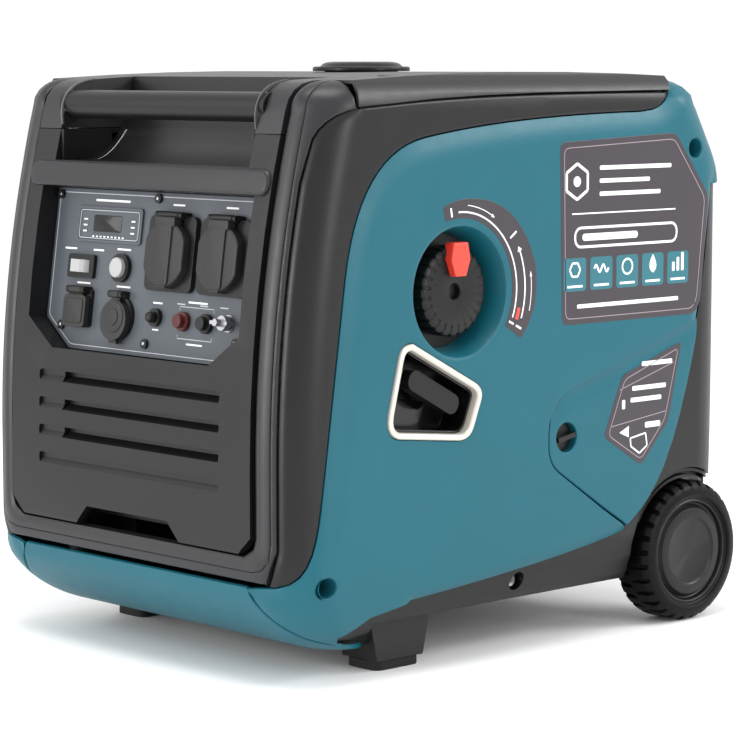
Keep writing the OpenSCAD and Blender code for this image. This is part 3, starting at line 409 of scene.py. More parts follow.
def from_side(y, z):
    """The skin's (a, b) under a point of the side view."""
    b = height_to_b(y, z)
    _, _, front, rear, front_r, rear_r, _ = (float(v) for v in section(np.float64(b)))
    if y < front + front_r:
        return front + front_r - front_r * math.asin(min(1, (front + front_r - y) / front_r)), b
    if y > rear - rear_r:
        return rear - rear_r + rear_r * math.asin(min(1, (y - rear + rear_r) / rear_r)), b
    return y, b


def from_front(x, z):
    """The skin's (a, b) behind a point of the front view, on the right half."""
    b = height_to_b(-230, z)
    _, wide, front, _, front_r, _, _ = (float(v) for v in section(np.float64(b)))
    flat = wide - front_r
    if x <= flat:
        return front + front_r - front_r * math.pi / 2 - (flat - x), b
    return front + front_r - front_r * math.acos(min(1, (x - flat) / front_r)), b


def side_line(points):
    return [from_side(y, z) for y, z in points]


def side_place(a, b):
    return skin_point(a, b), skin_normal(a, b)


def front_shift(b):
    """Adds to a distance from the middle of the front to give a."""
    _, wide, front, _, front_r, _, _ = section(b)
    return front + front_r - front_r * math.pi / 2 - (wide - front_r)


def front_place(c, b):
    """As side_place, for c measured from the middle of the front, negative on the left."""
    a = np.abs(c) + front_shift(b)
    points, normals = skin_point(a, b), skin_normal(a, b)
    flip = np.where(c < 0, -1.0, 1.0)
    points[:, 0] *= flip
    normals[:, 0] *= flip
    middle = np.abs(c) < 0.2
    normals[middle, 0] = 0
    return points, normals


def to_front(line):
    """(a, b) points, on the right half, as distances from the middle of the front."""
    return [(a - float(front_shift(np.float64(b))), b) for a, b in line]


SMALL_EDGE = 5.0      # edges narrower than this are rounded as a quarter circle
SLOPE_POWER = 1.6     # wider ones fall away in a softer curve


def roll_drop(gap, width, height):
    """How far a rounded edge has fallen at a distance from it."""
    t = np.clip(1 - gap / width, 0, 1)
    if width < SMALL_EDGE:
        return height * (1 - np.sqrt(1 - t ** 2))
    return height * t ** SLOPE_POWER


def panel(name, plus, minus, place, material, body, replaced=(), rolls=(), edge=(1.2, 0.9),
          inset=None, pitch=7.0, thick=2.6, mirrored=False):
    """A moulded skin: inside the first outline, outside the others, with rounded edges.

    rolls are (line, closed, width, height) edges that fall away more than the usual edge does.
    inset gives how far points lie under the body's surface.
    """
    loops = [resample(loop, 4.0) for loop in (plus, *minus)]
    lines = [(loop, True, *edge) for loop in loops]
    lines += [(resample(line, 4.0, closed), closed, width, height) for line, closed, width, height in rolls]
    parts = [np.concatenate(loops)]
    for line, closed, width, height in lines:
        ahead = np.roll(line, -1, axis=0) - np.roll(line, 1, axis=0)
        side = np.stack([-ahead[:, 1], ahead[:, 0]], axis=1)
        side /= np.maximum(np.linalg.norm(side, axis=1, keepdims=True), 1e-9)
        for k in (1, 2, 3, 4, 5):
            reach = width * (1 - math.cos(k * math.pi / 10))
            for sign in (1, -1):
                ring = line + side * reach * sign
                away = np.min([distance(ring, loop) for loop in loops], axis=0)
                parts.append(ring[(away > 0.2) & (distance(ring, line, closed) > 0.9 * reach)])
    lo, hi = loops[0].min(axis=0), loops[0].max(axis=0)
    across, up = np.meshgrid(
        np.linspace(lo[0], hi[0], int((hi[0] - lo[0]) / pitch) + 2),
        np.linspace(lo[1], hi[1], int((hi[1] - lo[1]) / pitch) + 2),
    )
    grid = np.stack([across.ravel(), up.ravel()], axis=1)
    clear = np.ones(len(grid), bool)
    for line, closed, width, _ in lines:
        gap = distance(grid, line, closed)
        clear &= gap > width + 0.35 * pitch
    parts.append(grid[clear])
    count = 0
    edges = []
    for loop in loops:
        edges += [(count + i, count + (i + 1) % len(loop)) for i in range(len(loop))]
        count += len(loop)
    flat = np.concatenate(parts)
    keep = inside(flat, loops[0])
    for loop in loops[1:]:
        keep &= ~inside(flat, loop)
    keep[:count] = True
    flat = flat[keep]
    out = delaunay_2d_cdt([Vector(p) for p in flat.tolist()], edges, [], 0, 1e-3)
    points = np.array([tuple(v) for v in out[0]])
    triangles = np.array(out[2])
    middle = points[triangles].mean(axis=1)
    wanted = inside(middle, loops[0])
    for loop in loops[1:]:
        wanted &= ~inside(middle, loop)
    triangles = triangles[wanted]
    used = np.unique(triangles)
    renumber = np.full(len(points), -1)
    renumber[used] = np.arange(len(used))
    points, triangles = points[used], renumber[triangles]
    where, normals = place(points[:, 0], points[:, 1])
    fall = np.zeros(len(points))
    for line, closed, width, height in lines:
        fall = np.maximum(fall, roll_drop(distance(points, line, closed), width, height))
    if inset is not None:
        fall = fall + inset(points[:, 0], points[:, 1])
    outer = where - normals * fall[:, None]
    inner = outer - normals * thick
    verts = np.concatenate([outer, inner]) * MM
    size = len(points)
    faces = [tuple(t) for t in triangles] + [tuple(t[::-1] + size) for t in triangles]
    seen = {}
    for t in triangles:
        for i, j in ((t[0], t[1]), (t[1], t[2]), (t[2], t[0])):
            seen[(i, j)] = True
    for i, j in seen:
        if (j, i) not in seen:
            faces.append((j, i, i + size, j + size))
    if mirrored:
        verts[:, 0] *= -1
        faces = [f[::-1] for f in faces]
    return mesh_piece(name, verts, faces, material, body, replaced, 50)


# ---------- shells ----------

SEAM = 0.8
RISE = 4.4            # the coloured shells stand this far proud of the trims beside them
FULL_TURN = 2 * math.pi


def circle(at, r, count=48):
    return [(at[0] + r * math.cos(FULL_TURN * i / count), at[1] + r * math.sin(FULL_TURN * i / count))
            for i in range(count)]


def grow(loop, by):
    """A closed line moved outwards by a distance, for lines drawn anticlockwise."""
    p = np.asarray(loop, float)
    before, after = p - np.roll(p, 1, axis=0), np.roll(p, -1, axis=0) - p
    before /= np.maximum(np.linalg.norm(before, axis=1, keepdims=True), 1e-9)
    after /= np.maximum(np.linalg.norm(after, axis=1, keepdims=True), 1e-9)
    n = np.stack([before[:, 1] + after[:, 1], -before[:, 0] - after[:, 0]], axis=1)
    scale = np.maximum((n * np.stack([before[:, 1], -before[:, 0]], axis=1)).sum(axis=1), 0.35)
    area = 0.5 * np.sum(p[:, 0] * np.roll(p[:, 1], -1) - np.roll(p[:, 0], -1) * p[:, 1])
    return (p + n / scale[:, None] * by * (1 if area > 0 else -1)).tolist()


def soft_box(at, size, r, count=6):
    """A rectangle with round corners, anticlockwise."""
    out = []
    for sx, sy, start in ((1, 1, 0), (-1, 1, 90), (-1, -1, 180), (1, -1, 270)):
        for i in range(count + 1):
            angle = math.radians(start + 90 * i / count)
            out.append((at[0] + sx * (size[0] / 2 - r) + r * math.cos(angle),
                        at[1] + sy * (size[1] / 2 - r) + r * math.sin(angle)))
    return out


def crossing(one, two):
    """Where two open lines first cross: the piece of each, and the point."""
    for i in range(len(one) - 1):
        for j in range(len(two) - 1):
            p, q = np.asarray(one[i], float), np.asarray(two[j], float)
            d, e = np.asarray(one[i + 1], float) - p, np.asarray(two[j + 1], float) - q
            det = d[0] * -e[1] + e[0] * d[1]
            if abs(det) < 1e-9:
                continue
            w = q - p
            t = (w[0] * -e[1] + e[0] * w[1]) / det
            u = (d[0] * w[1] - d[1] * w[0]) / det
            if 0 <= t <= 1 and 0 <= u <= 1:
                return i, j, tuple(p + d * t)
    raise ValueError("the lines do not cross")


def ring_faces(rings, count, flip=False, start=0):
    """Quads between neighbouring rings of count points each."""
    faces = []
    for k in range(rings - 1):
        base = start + k * count
        for i in range(count):
            j = (i + 1) % count
            quad = (base + i, base + j, base + count + j, base + count + i)
            faces.append(quad[::-1] if flip else quad)
    return faces


def lathe(name, profile, at, axis, material, body, replaced=(), count=96, smooth_angle=35):
    """A turned piece: profile points are (distance along the axis, radius), at a point in mm."""
    axis = Vector(axis).normalized()
    side = axis.orthogonal().normalized()
    up = axis.cross(side)
    verts = []
    for along, r in profile:
        for i in range(count):
            angle = FULL_TURN * i / count
            verts.append((Vector(at) + axis * along + (side * math.cos(angle) + up * math.sin(angle)) * r) * MM)
    faces = ring_faces(len(profile), count)
    obj = mesh_piece(name, verts, faces, material, body, replaced, smooth_angle)
    tool = bmesh.new()
    tool.from_mesh(obj.data)
    bmesh.ops.remove_doubles(tool, verts=tool.verts, dist=1e-6)
    bmesh.ops.recalc_face_normals(tool, faces=tool.faces)
    tool.to_mesh(obj.data)
    tool.free()
    return obj


FRONT_EDGE = (
    bend((-262, 81.5), (-236, 84), (-228, 150), 8) + bend((-203, 325), (-188, 420), (-118, 432), 14)
    + bend((-118, 432), (-20, 448), (140, 450), 12)[1:] + bend((150, 451), (170, 452), (181, 468), 8)
)
REAR_EDGE = (
    [(237, 386)] + bend((236, 372), (218, 240), (184, 163), 7) + bend((180, 156), (164, 118), (122, 90), 5)
    + bend((110, 87), (20, 72), (-130, 61), 6)
)
SERVICE_EDGE = (
    [(262, 283.6), (67, 222)] + bend((55, 219), (24, 210), (24, 182), 6)
    + bend((24, 170), (25, 156), (38, 148), 5) + [(122, 94), (150, 72)]
)
PULL_EDGE = (
    bend((-136, 268), (-147, 268), (-149, 258), 4) + bend((-160, 214), (-163, 199), (-150, 196), 5)
    + bend((-84, 189), (-72, 188), (-68, 198), 5) + bend((-60, 218), (-56, 227), (-66, 232), 5)
)
DIAL_AT = (-81, 308)
SHELL_SCREWS = ((-226, 84), (209, 418))
PIT_R = 53.0


def chin_seam(z):
    """Half width of the chin at a height."""
    return 137 + 53 * (96 - z) / 84


def door_seam():
    """Where the door's edge leaves and rejoins the shell's rear edge, and the line between."""
    i, j, first = crossing(REAR_EDGE, SERVICE_EDGE)
    m, n, last = crossing(list(reversed(REAR_EDGE)), list(reversed(SERVICE_EDGE)))
    m, n = len(REAR_EDGE) - 1 - m, len(SERVICE_EDGE) - 1 - n
    return i + 1, m, [first] + SERVICE_EDGE[j + 1:n] + [last]


def shell_loop(with_service):
    """The side shell's outline on the skin, from the chin's seam round by the front and top."""
    seam = [from_front(chin_seam(z) + SEAM, z) for z in (34, 44, 56, 68, 81.3)]
    top = side_line(FRONT_EDGE)
    over = [(186, 480), (190, 494), (232, 498)]
    back = []
    for b in (492, 478, 456, 430, 404, 386.5):
        _, wide, _, rear, _, rear_r, _ = (float(v) for v in section(np.float64(b)))
        back.append((rear - rear_r + rear_r * math.pi / 2 + (wide - rear_r - 146), b))
    if with_service:
        leave, rejoin, door = door_seam()
        rear = REAR_EDGE[:leave] + door + REAR_EDGE[rejoin:]
    else:
        rear = REAR_EDGE
    foot = [(-175, 54), (-200, 41)]
    return seam + top + over + back + side_line(rear) + side_line(foot)


def service_loop():
    leave, rejoin, door = door_seam()
    return grow(door + list(reversed(REAR_EDGE[leave:rejoin])), -SEAM)


def rise(a, b):
    """How far the coloured shell stands proud: it dies out where it turns onto the roof."""
    return -RISE * np.clip((476 - b) / 14, -0.35, 1)


def well(name, at, mirrored, material, body):
    """The round well in a shell that holds a screw."""
    sign = -1 if mirrored else 1
    x = float(skin_point(*(np.float64(v) for v in from_side(*at)))[0]) + RISE
    profile = [(x - 0.6, 9.4), (x - 1.2, 8.6), (x - 3, 8.2), (183, 8.0), (183, 2.8), (181.5, 2.8),
               (181.5, 9.2), (x - 3.4, 9.6)]
    lathe(name, [(sign * d, r) for d, r in profile], (0, at[0], at[1]), (1, 0, 0), material, body, count=40)


def shifted(line, by):
    """An open line moved to its left by a distance."""
    return stroke(line, 2 * by)[:len(line)]


def crown_line(back):
    """The bezel's side seam from its foot, up the front and over the brow."""
    rising = [(float(lean(z)) + back, float(z)) for z in np.linspace(84, 400, 12)]
    return rising + bend((-233 + back, 425), (-227 + back, 452), (-190, 456.5), 6)


def make_frame():
    """The bezel round the front panel and the dark trims behind it, with their soft edges."""
    outer = to_front(side_line(crown_line(6.2)))
    over = []
    for b in (466, 476, 486, 497):
        over.append((-190.8 - float(front_shift(np.float64(b))), b))
    inner = [(160, 497), (160, 470), (160, 440), (160, 300), (160, 121), (157, 113), (145, 105)]
    right = outer + over + inner
    low = 83.4
    loop = [(outer[0][0], low)] + right + [(-c, b) for c, b in reversed(right)] + [(-outer[0][0], low)]
    groove = [(176, 490), (176, 440), (176, 300), (176, 118), (174, 104), (166, 96), (154, 93), (0, 93)]
    groove += [(-c, b) for c, b in reversed(groove[:-1])]
    mouth = inner + [(-c, b) for c, b in reversed(inner)]
    panel(
        "bezel_skin", loop, [], front_place, GRAPHITE, "machine", ("front_bezel",),
        [(mouth, False, 7.0, 2.6), (groove, False, 1.3, 1.5)], (2.4, 1.6), None, 7.0, 8.5,
    )
    crown = crown_line(7.0) + bend((-150, 459.5), (-60, 467.6), (178, 467.6), 8)
    shell = shifted(FRONT_EDGE[:-2], SEAM)
    loop = side_line(crown + list(reversed(shell[1:])))
    for side, mirrored in (("right", False), ("left", True)):
        panel(
            f"trim_skin_{side}", loop, [], side_place, CHARCOAL, "machine",
            ("side_trims",), [(side_line(crown_line(7.0)), False, 7.0, 2.2)], (2.2, 1.4), None, 7.0, 2.6, mirrored,
        )


def make_shade_sheets():
    """Black strips behind the seam along the top and a black sheet behind the louvres, painted shade standing in for
    the dark inside of the body.
    """
    crown = [(-184, 456.6)] + bend((-150, 459.5), (-60, 467.6), (176, 467.6), 10)
    strip = side_line(shifted(crown, 7) + list(reversed(shifted(crown, -7))))
    # painted shade: black strips under the top seam stand in for the dark inside seen through the gap
    for side, mirrored in (("right", False), ("left", True)):
        panel(f"crown_shade_strip_{side}", strip, [], side_place, BLACK, "machine", (), (),
              (0.5, 0.3), lambda a, b: np.full(np.shape(a), 4.2), 7.0, 1.2, mirrored)
    # painted shade: a black sheet behind the louvres stands in for the dark inside of the body
    panel("louvre_shade_sheet", [(-50, 138), (112, 138), (112, 236), (-50, 236)], [], side_place, BLACK, "machine",
          (), (), (0.5, 0.3), lambda a, b: np.full(np.shape(a), 9.0), 9.0, 1.5, True)


def sweep(name, loop, section_points, place, material, body, replaced=()):
    """A rim whose section, given as (outward offset, height) points, follows a closed line."""
    verts, faces, n = [], [], len(loop)
    for out, height in section_points:
        verts += [place(p[0], p[1], height) * MM for p in grow(loop, out)]
    rings = len(section_points)
    for k in range(rings):
        for i in range(n):
            j, m = (i + 1) % n, (k + 1) % rings
            faces.append((k * n + i, k * n + j, m * n + j, m * n + i))
    return mesh_piece(name, verts, faces, material, body, replaced, 40)


def starter():
    """The pale rim of the starter opening: a rounded ring with a thin inner lip."""
    loop = resample(PULL_EDGE, 3.0).tolist()
    rim = [(1.7, -5.0), (1.7, 0.7), (1.2, 1.5), (0.3, 1.9), (-1.2, 2.0), (-2.2, 1.6), (-2.8, 0.9), (-3.1, 1.0),
           (-3.5, 0.5), (-3.6, -8.0), (-2.6, -8.0), (-2.6, -5.0)]
    sweep("starter_rim", loop, rim, on_side, PALE_RING, "machine", ("starter_bezel",))


def make_shells():
    make_frame()
    make_shade_sheets()
    wells = [circle(from_side(*p), 8.8, 32) for p in SHELL_SCREWS]
    rolls = [(side_line(FRONT_EDGE), False, 19.0, 4.6), (side_line(REAR_EDGE), False, 12.0, 4.2)]
    panel(
        "shell_skin_right", shell_loop(True),
        [circle(DIAL_AT, PIT_R + 1.2, 96), grow(PULL_EDGE, 2.2), *wells],
        side_place, TEAL, "machine", ("side_shell_right",), rolls, (1.6, 1.1), rise,
    )
    slots = [soft_box((20 + 6 * i, 150 + 18 * i), (110, 7), 3.4) for i in range(5)]
    panel(
        "shell_skin_left", shell_loop(False), [*slots, *wells], side_place, TEAL, "machine",
        ("side_shell_left",), rolls, (1.6, 1.1), rise, mirrored=True,
    )
    panel(
        "service_skin", service_loop(), [circle((46, 178), 12.6, 48)], side_place, TEAL, "service_door",
        ("service_cover",),
        [([(240, 276), (67, 222), (55, 219), (40, 213), (30, 203)], False, 15.0, 3.2)],
        (1.4, 1.0), rise,
    )
    sides = [from_front(chin_seam(z) - SEAM, z) for z in (34, 44, 56, 68, 81.3)]
    right = to_front(sides)
    loop = [(-c, b) for c, b in right] + [(c, b) for c, b in reversed(right)]
    loop += [(right[0][0] - 6, -28), (6 - right[0][0], -28)]
    panel(
        "chin_skin", loop, [], front_place, TEAL, "machine", ("front_chin",),
        [([(-right[-1][0], 81.3), (right[-1][0], 81.3)], False, 16.0, 4.4)], (1.4, 1.0), rise,
    )
    top = HALF_W + RISE
    pit = [(top - 1.0, 56.0), (top - 0.2, 54.8), (top - 0.6, 53.4), (top - 2.0, 52.4), (178.4, 46.8),
           (177.4, 46.8), (177.4, 49.5), (198, 55.2)]
    lathe("dial_pit", pit, (0, *DIAL_AT), (1, 0, 0), TEAL, "machine")
    for side, mirrored in (("right", False), ("left", True)):
        for i, at in enumerate(SHELL_SCREWS):
            well(f"screw_well_{side}_{i + 1}", at, mirrored, TEAL, "machine")
    cup = [(198.6, 14.6), (top - 0.4, 13.8), (top - 0.9, 12.8), (194, 12.4), (194, 4.2), (192.5, 4.2), (192.5, 13.6)]
    lathe("lock_well", cup, (0, 46, 178), (1, 0, 0), TEAL, "service_door", count=48)


# ---------- small raised shapes ----------

PLATE = Matrix.Translation((0, -234.8, 321)) @ Matrix.Rotation(math.radians(82), 4, "X")


def on_plate(u, v, h):
    return PLATE @ Vector((u, v, h))


def on_side(y, z, h):
    """A point h above the coloured shell, under a point of the side view."""
    a, b = (np.array([value]) for value in from_side(y, z))
    point = skin_point(a, b)[0] + skin_normal(a, b)[0] * (RISE + h)
    return Vector(point.tolist())


def ring_stack(loop, low, high, soft):
    """The outlines and heights of a slab with a rounded top edge."""
    rings = [(loop, low), (loop, high - soft)]
    for k in (1, 2, 3):
        angle = k * math.pi / 6
        rings.append((grow(loop, -soft * (1 - math.cos(angle))), high - soft + soft * math.sin(angle)))
    return rings


def add_slab(verts, faces, place, loop, low, high, soft=0.0):
    area = sum(p[0] * q[1] - q[0] * p[1] for p, q in zip(loop, list(loop[1:]) + [loop[0]]))
    loop = list(loop) if area > 0 else list(reversed(loop))
    rings = ring_stack(loop, low, high, soft) if soft else [(loop, low), (loop, high)]
    start, n = len(verts), len(loop)
    for ring, height in rings:
        verts += [place(p[0], p[1], height) * MM for p in ring]
    faces += ring_faces(len(rings), n, start=start)
    faces.append(tuple(start + (len(rings) - 1) * n + i for i in range(n)))
    faces.append(tuple(start + i for i in reversed(range(n))))


def slabs(name, shapes, place, material, body, replaced=()):
    """One piece made of raised shapes, each (outline, low, high) or (outline, low, high, soft)."""
    verts, faces = [], []
    for shape in shapes:
        add_slab(verts, faces, place, *shape)
    return mesh_piece(name, verts, faces, material, body, replaced, 40)


def bar(at, size, r=None):
    """A plain bar with round corners."""
    return soft_box(at, size, min(size) * 0.3 if r is None else r, 3)


def stroke(line, width):
    """The outline of an open line drawn with a width."""
    p = np.asarray(line, float)
    ahead = np.gradient(p, axis=0)
    ahead /= np.maximum(np.linalg.norm(ahead, axis=1, keepdims=True), 1e-9)
    side = np.stack([-ahead[:, 1], ahead[:, 0]], axis=1) * width / 2
    return (p + side).tolist() + (p - side)[::-1].tolist()


def frame_strokes(loop, width):
    """A closed line drawn with a width, as one short stroke for each side."""
    ends = list(loop[1:]) + [loop[0]]
    return [stroke([p, q], width) for p, q in zip(loop, ends)]


def rounded(corners, r, count=4):
    """A closed polygon with its corners cut by curves."""
    out = []
    for before, at, after in zip(corners[-1:] + corners[:-1], corners, corners[1:] + corners[:1]):
        a, b, c = (np.asarray(v, float) for v in (before, at, after))
        start = b + (a - b) / np.linalg.norm(a - b) * r
        end = b + (c - b) / np.linalg.norm(c - b) * r
        out += bend(start, b, end, count)
    return out


def arc(at, r, start, end, count=24):
    """Points of an arc; angles in degrees clockwise from straight up, seen from the right side."""
    return [(at[0] + r * math.sin(math.radians(start + (end - start) * i / count)),
             at[1] + r * math.cos(math.radians(start + (end - start) * i / count))) for i in range(count + 1)]


# ---------- labels ----------

LABEL = 0.25          # thickness of a label
PRINT = 0.12          # and of the print on it


def label(name, loop, material, body, lift=0.0):
    """A thin label that follows the coloured shell."""
    panel(
        name, side_line(loop), [], side_place, material, body, (), (), (0.5, 0.12),
        lambda a, b: np.full(np.shape(a), -RISE - LABEL - lift), 9.0, LABEL * 0.9,
    )


def main_label():
    outline = [(35, 426), (182, 432), (227, 376), (217, 284), (209, 273), (39, 273)]
    label("label_main", rounded(outline, 7), DECAL_GREY, "machine")
    low, high = LABEL, LABEL + PRINT
    inner = rounded([(40, 421), (180, 426.5), (221, 375), (211.5, 286), (206, 278), (43, 278)], 6)
    slabs("label_main_border", [(s, low, high) for s in frame_strokes(inner, 0.7)], on_side, DECAL_LINE,
          "machine")
    white = []
    badge = [(48 + 15 * math.sin(math.radians(60 * i)) + 8, 393 + 15 * math.cos(math.radians(60 * i))) for i in range(6)]
    white += [(s, low, high) for s in frame_strokes(badge, 2.6)]
    white.append((circle((56, 393), 4.5, 20), low, high))
    for z, spans in ((404, ((84, 92),)), (393, ((84, 64),)), (382, ((84, 78),))):
        white += [(bar((y + w / 2, z), (w, 3.6), 1.2), low, high) for y, w in spans]
    white.append((bar((116, 366), (132, 1.2)), low, high))
    white += [(s, low, high) for s in frame_strokes(soft_box((119, 346), (130, 16), 7, 5), 2.2)]
    white.append((bar((98, 346), (70, 6), 2.6), low, high))
    white.append((bar((122, 288), (130, 3.4), 1.2), low, high))
    slabs("label_main_print", white, on_side, PRINT_WHITE, "machine")
    tiles = [(54 + 33 * i, 315) for i in range(5)]
    slabs("label_tiles", [(bar(t, (28, 28), 3), low, high) for t in tiles], on_side, PRINT_TEAL, "machine")
    tip, top = high, high + PRINT
    glyphs = [(s, tip, top) for s in frame_strokes(circle((tiles[0][0], 319), 6.5, 6), 1.8)]
    wave = [(tiles[1][0] - 9 + 0.5 * i, 319 + 3 * math.sin(i * 0.35)) for i in range(37)]
    glyphs.append((stroke(wave, 2.0), tip, top))
    glyphs += [(s, tip, top) for s in frame_strokes(circle((tiles[2][0], 319), 6.5, 14), 1.8)]
    y = tiles[3][0]
    drop = bend((y, 328), (y + 9, 316), (y, 312), 6) + bend((y, 312), (y - 9, 316), (y, 328), 6)[1:-1]
    glyphs.append((drop, tip, top))
    y = tiles[4][0]
    glyphs += [(bar((y - 6 + 6 * i, 316 + 2 * i), (3.4, 8 + 4 * i)), tip, top) for i in range(3)]
    glyphs += [(bar((t[0], 305), (19, 2)), tip, top) for t in tiles]
    slabs("label_glyphs", glyphs, on_side, PRINT_WHITE, "machine")


def door_label():
    corners = [(193, 250), (115, 225), (92, 174), (141, 145), (176, 181)]
    label("label_door", rounded(corners, 6), DECAL_GREY, "service_door")
    low, high = LABEL, LABEL + PRINT
    inner = rounded([(188, 244), (118.5, 221.5), (98, 175), (140, 150.5), (171, 183)], 5)
    lines = [(s, low, high) for s in frame_strokes(inner, 0.7)]
    lines += [(stroke([(112, 213), (182, 232)], 0.7), low, high), (stroke([(101, 182), (172, 190)], 0.7), low, high)]
    slabs("label_door_lines", lines, on_side, DECAL_LINE, "service_door")
    white = [(bar((160, 233.5), (40, 4)), low, high)]
    white += [(bar((y, z), size, 1.2), low, high) for y, z, size in (
        (150, 213, (44, 4)), (146, 203, (40, 4)), (117, 200, (4, 8)))]
    white.append((bar((155, 180), (20, 5), 1.5), low, high))
    white.append(([(112, 176), (124, 181), (124, 171)], low, high))
    white += [(s, low, high) for s in frame_strokes([(126, 170), (146, 173), (148, 162), (138, 156), (127, 163)], 1.5)]
    slabs("label_door_print", white, on_side, PRINT_WHITE, "service_door")


def dial_point(r, turn):
    return arc(DIAL_AT, r, turn, turn, 1)[0]


def dial_label():
    """A crescent round the starter dial, with run and start arcs and generic marks."""
    turns = np.linspace(-17, 121, 47)
    reach = np.interp(turns, [-17, 10, 45, 80, 100, 121], [72, 76, 84.5, 89, 88, 82])
    outer = [dial_point(far, t) for far, t in zip(reach.tolist(), turns.tolist())]
    loop = rounded(outer + [dial_point(59.5, t) for t in reversed(turns.tolist())], 2.6)
    label("label_dial", loop, DECAL_GREY, "machine")
    low, high = LABEL, LABEL + PRINT
    white = []
    for radius, start, end, width, way in (
            (64.5, -3, 112, 1.4, 0), (70, 6, 30, 0.7, 1), (74.5, 66, 110, 1.4, -1), (82, 84, 104, 0.7, -1)):
        white.append((stroke(arc(DIAL_AT, radius, start, end), width), low, high))
        if way:
            foot = end if way > 0 else start
            tip = dial_point(radius, foot + 3.2 * way)
            sides = [dial_point(radius + 2.0 * width * k, foot) for k in (way, -way)]
            white.append(([tip] + sides, low, high))
    for t, near, far in ((-10, 61.5, 69), (54, 70, 79), (116, 62, 68), (116, 71, 78)):
        white.append((stroke([dial_point(radius, t) for radius in (near, far)], 1.8), low, high))
    slabs("label_dial_print", white, on_side, PRINT_WHITE, "machine")
    mark = stroke(arc(DIAL_AT, 69.5, 104, 112, 6), 3.4)
    slabs("label_dial_mark", [(mark, low, high)], on_side, RED, "machine")


# ---------- controls ----------

AC_AT = ((26, 16, "ac_lid_one", "ac_lid_1"), (93, 16, "ac_lid_two", "ac_lid_2"))


def ac_lids():
    for u, v, body, node in AC_AT:
        disc = []
        for i in range(56):
            angle = FULL_TURN * i / 56
            disc.append((u + max(-24.4, min(24.4, 27.2 * math.cos(angle))), v - 1 + 27.0 * math.sin(angle)))
        shapes = [(disc, 5.3, 12.4, 1.6), (soft_box((u, v - 1), (19, 51), 3), 12.0, 14.0, 0.8)]
        shapes.append((soft_box((u, v + 25.5), (25, 8), 2), 6.0, 14.2, 1.0))
        shapes.append((soft_box((u, v - 26.4), (13, 4.5), 1.6), 6.0, 12.6, 0.8))
        slabs(f"{body}_skin", shapes, on_plate, LID_GREY, body, (node,))
        lathe(f"{body}_barrel", [(-12.6, 0.2), (-12.6, 2.6), (-12.2, 3.2), (12.2, 3.2), (12.6, 2.6), (12.6, 0.2)],
              tuple(on_plate(u, v + 31, 8.6)), (1, 0, 0), BLACK, body, count=32)


def plate_print():
    outline = rounded([(-133.5, 62), (-133.5, -43.5), (-100.5, -66.5), (100.5, -66.5), (133.5, -43.5), (133.5, 62)], 4)
    lines = [(s, 0.0, 0.15) for s in frame_strokes(outline, 0.7)]
    lines += [(s, 2.0, 2.12) for s in frame_strokes(soft_box((-61, 36), (79, 23.5), 2.5, 3), 0.6)]
    for u in (41, 70, 95):
        lines.append((bar((u, -24), (10, 1.0)), 0.0, 0.15))
    lines += [(stroke([(40, -29), (40, -26), (83, -26), (83, -29)], 0.6), 0.0, 0.15)]
    lines += [(stroke([(40, -49), (40, -52), (83, -52), (83, -49)], 0.6), 0.0, 0.15)]
    slabs("plate_lines", lines, on_plate, PRINT_GREY, "machine")
    words = [(bar((u, v), size), 0.0, 0.15) for u, v, size in (
        (-61, 56.5, (46, 1.8)), (-112, 14.5, (16, 1.5)), (-74, 14.5, (14, 1.5)), (-40, 16.5, (18, 1.5)),
        (26, 56, (15, 1.6)), (93, 56, (15, 1.6)), (-90, -14, (18, 1.5)), (-36, -14.5, (18, 1.5)),
        (11, -25, (12, 1.4)), (62, -22, (24, 1.5)), (62, -56, (20, 1.4)), (11, -47, (8, 1.2)))]
    words += [(bar((-61 + 5 * i, 25.8), (2.6, 1.2)), 2.0, 2.12) for i in range(-4, 5)]
    words += [(bar((side, 30 + 5 * i), (5, 1.3)), 2.0, 2.12) for side in (-93, -29) for i in range(3)]
    slabs("plate_words", words, on_plate, PRINT_WHITE, "machine")
    window = [(soft_box((-64, 37), (38, 14), 2), 0.7, 1.5, 0.3)]
    slabs("display_window", window, on_plate, GLOSS_BLACK, "machine")
    dots = [(circle(at, 1.7, 20), 2.2, 3.0, 0.4) for at in
            ((-131, 60), (0, 60.5), (131, 60), (-114, -51), (0, -59.5), (114, -51))]
    slabs("screw_centres", dots, on_plate, STEEL, "machine")
    rings = [(circle((-36, -40), 13.4, 40), 8.2, 9.0, 0.5), (circle((-36, -40), 7.2, 32), 9.0, 9.8, 0.5)]
    slabs("round_cap_rings", rings, on_plate, LID_GREY, "round_lid")
    flap = [(soft_box((-90, -38), (24, 21), 3), 8.2, 9.2, 0.6)]
    slabs("dc_flap_face", flap, on_plate, LID_GREY, "dc_lid")
    dome = [(0, 4.3), (1.4, 4.2), (2.6, 3.4), (3.3, 2.0), (3.6, 0.01)]
    out = PLATE.to_3x3() @ Vector((0, 0, 1))
    lathe("breaker_dome", dome, tuple(on_plate(11, -37, 6.8)), out, BLACK, "breaker_key", count=40)


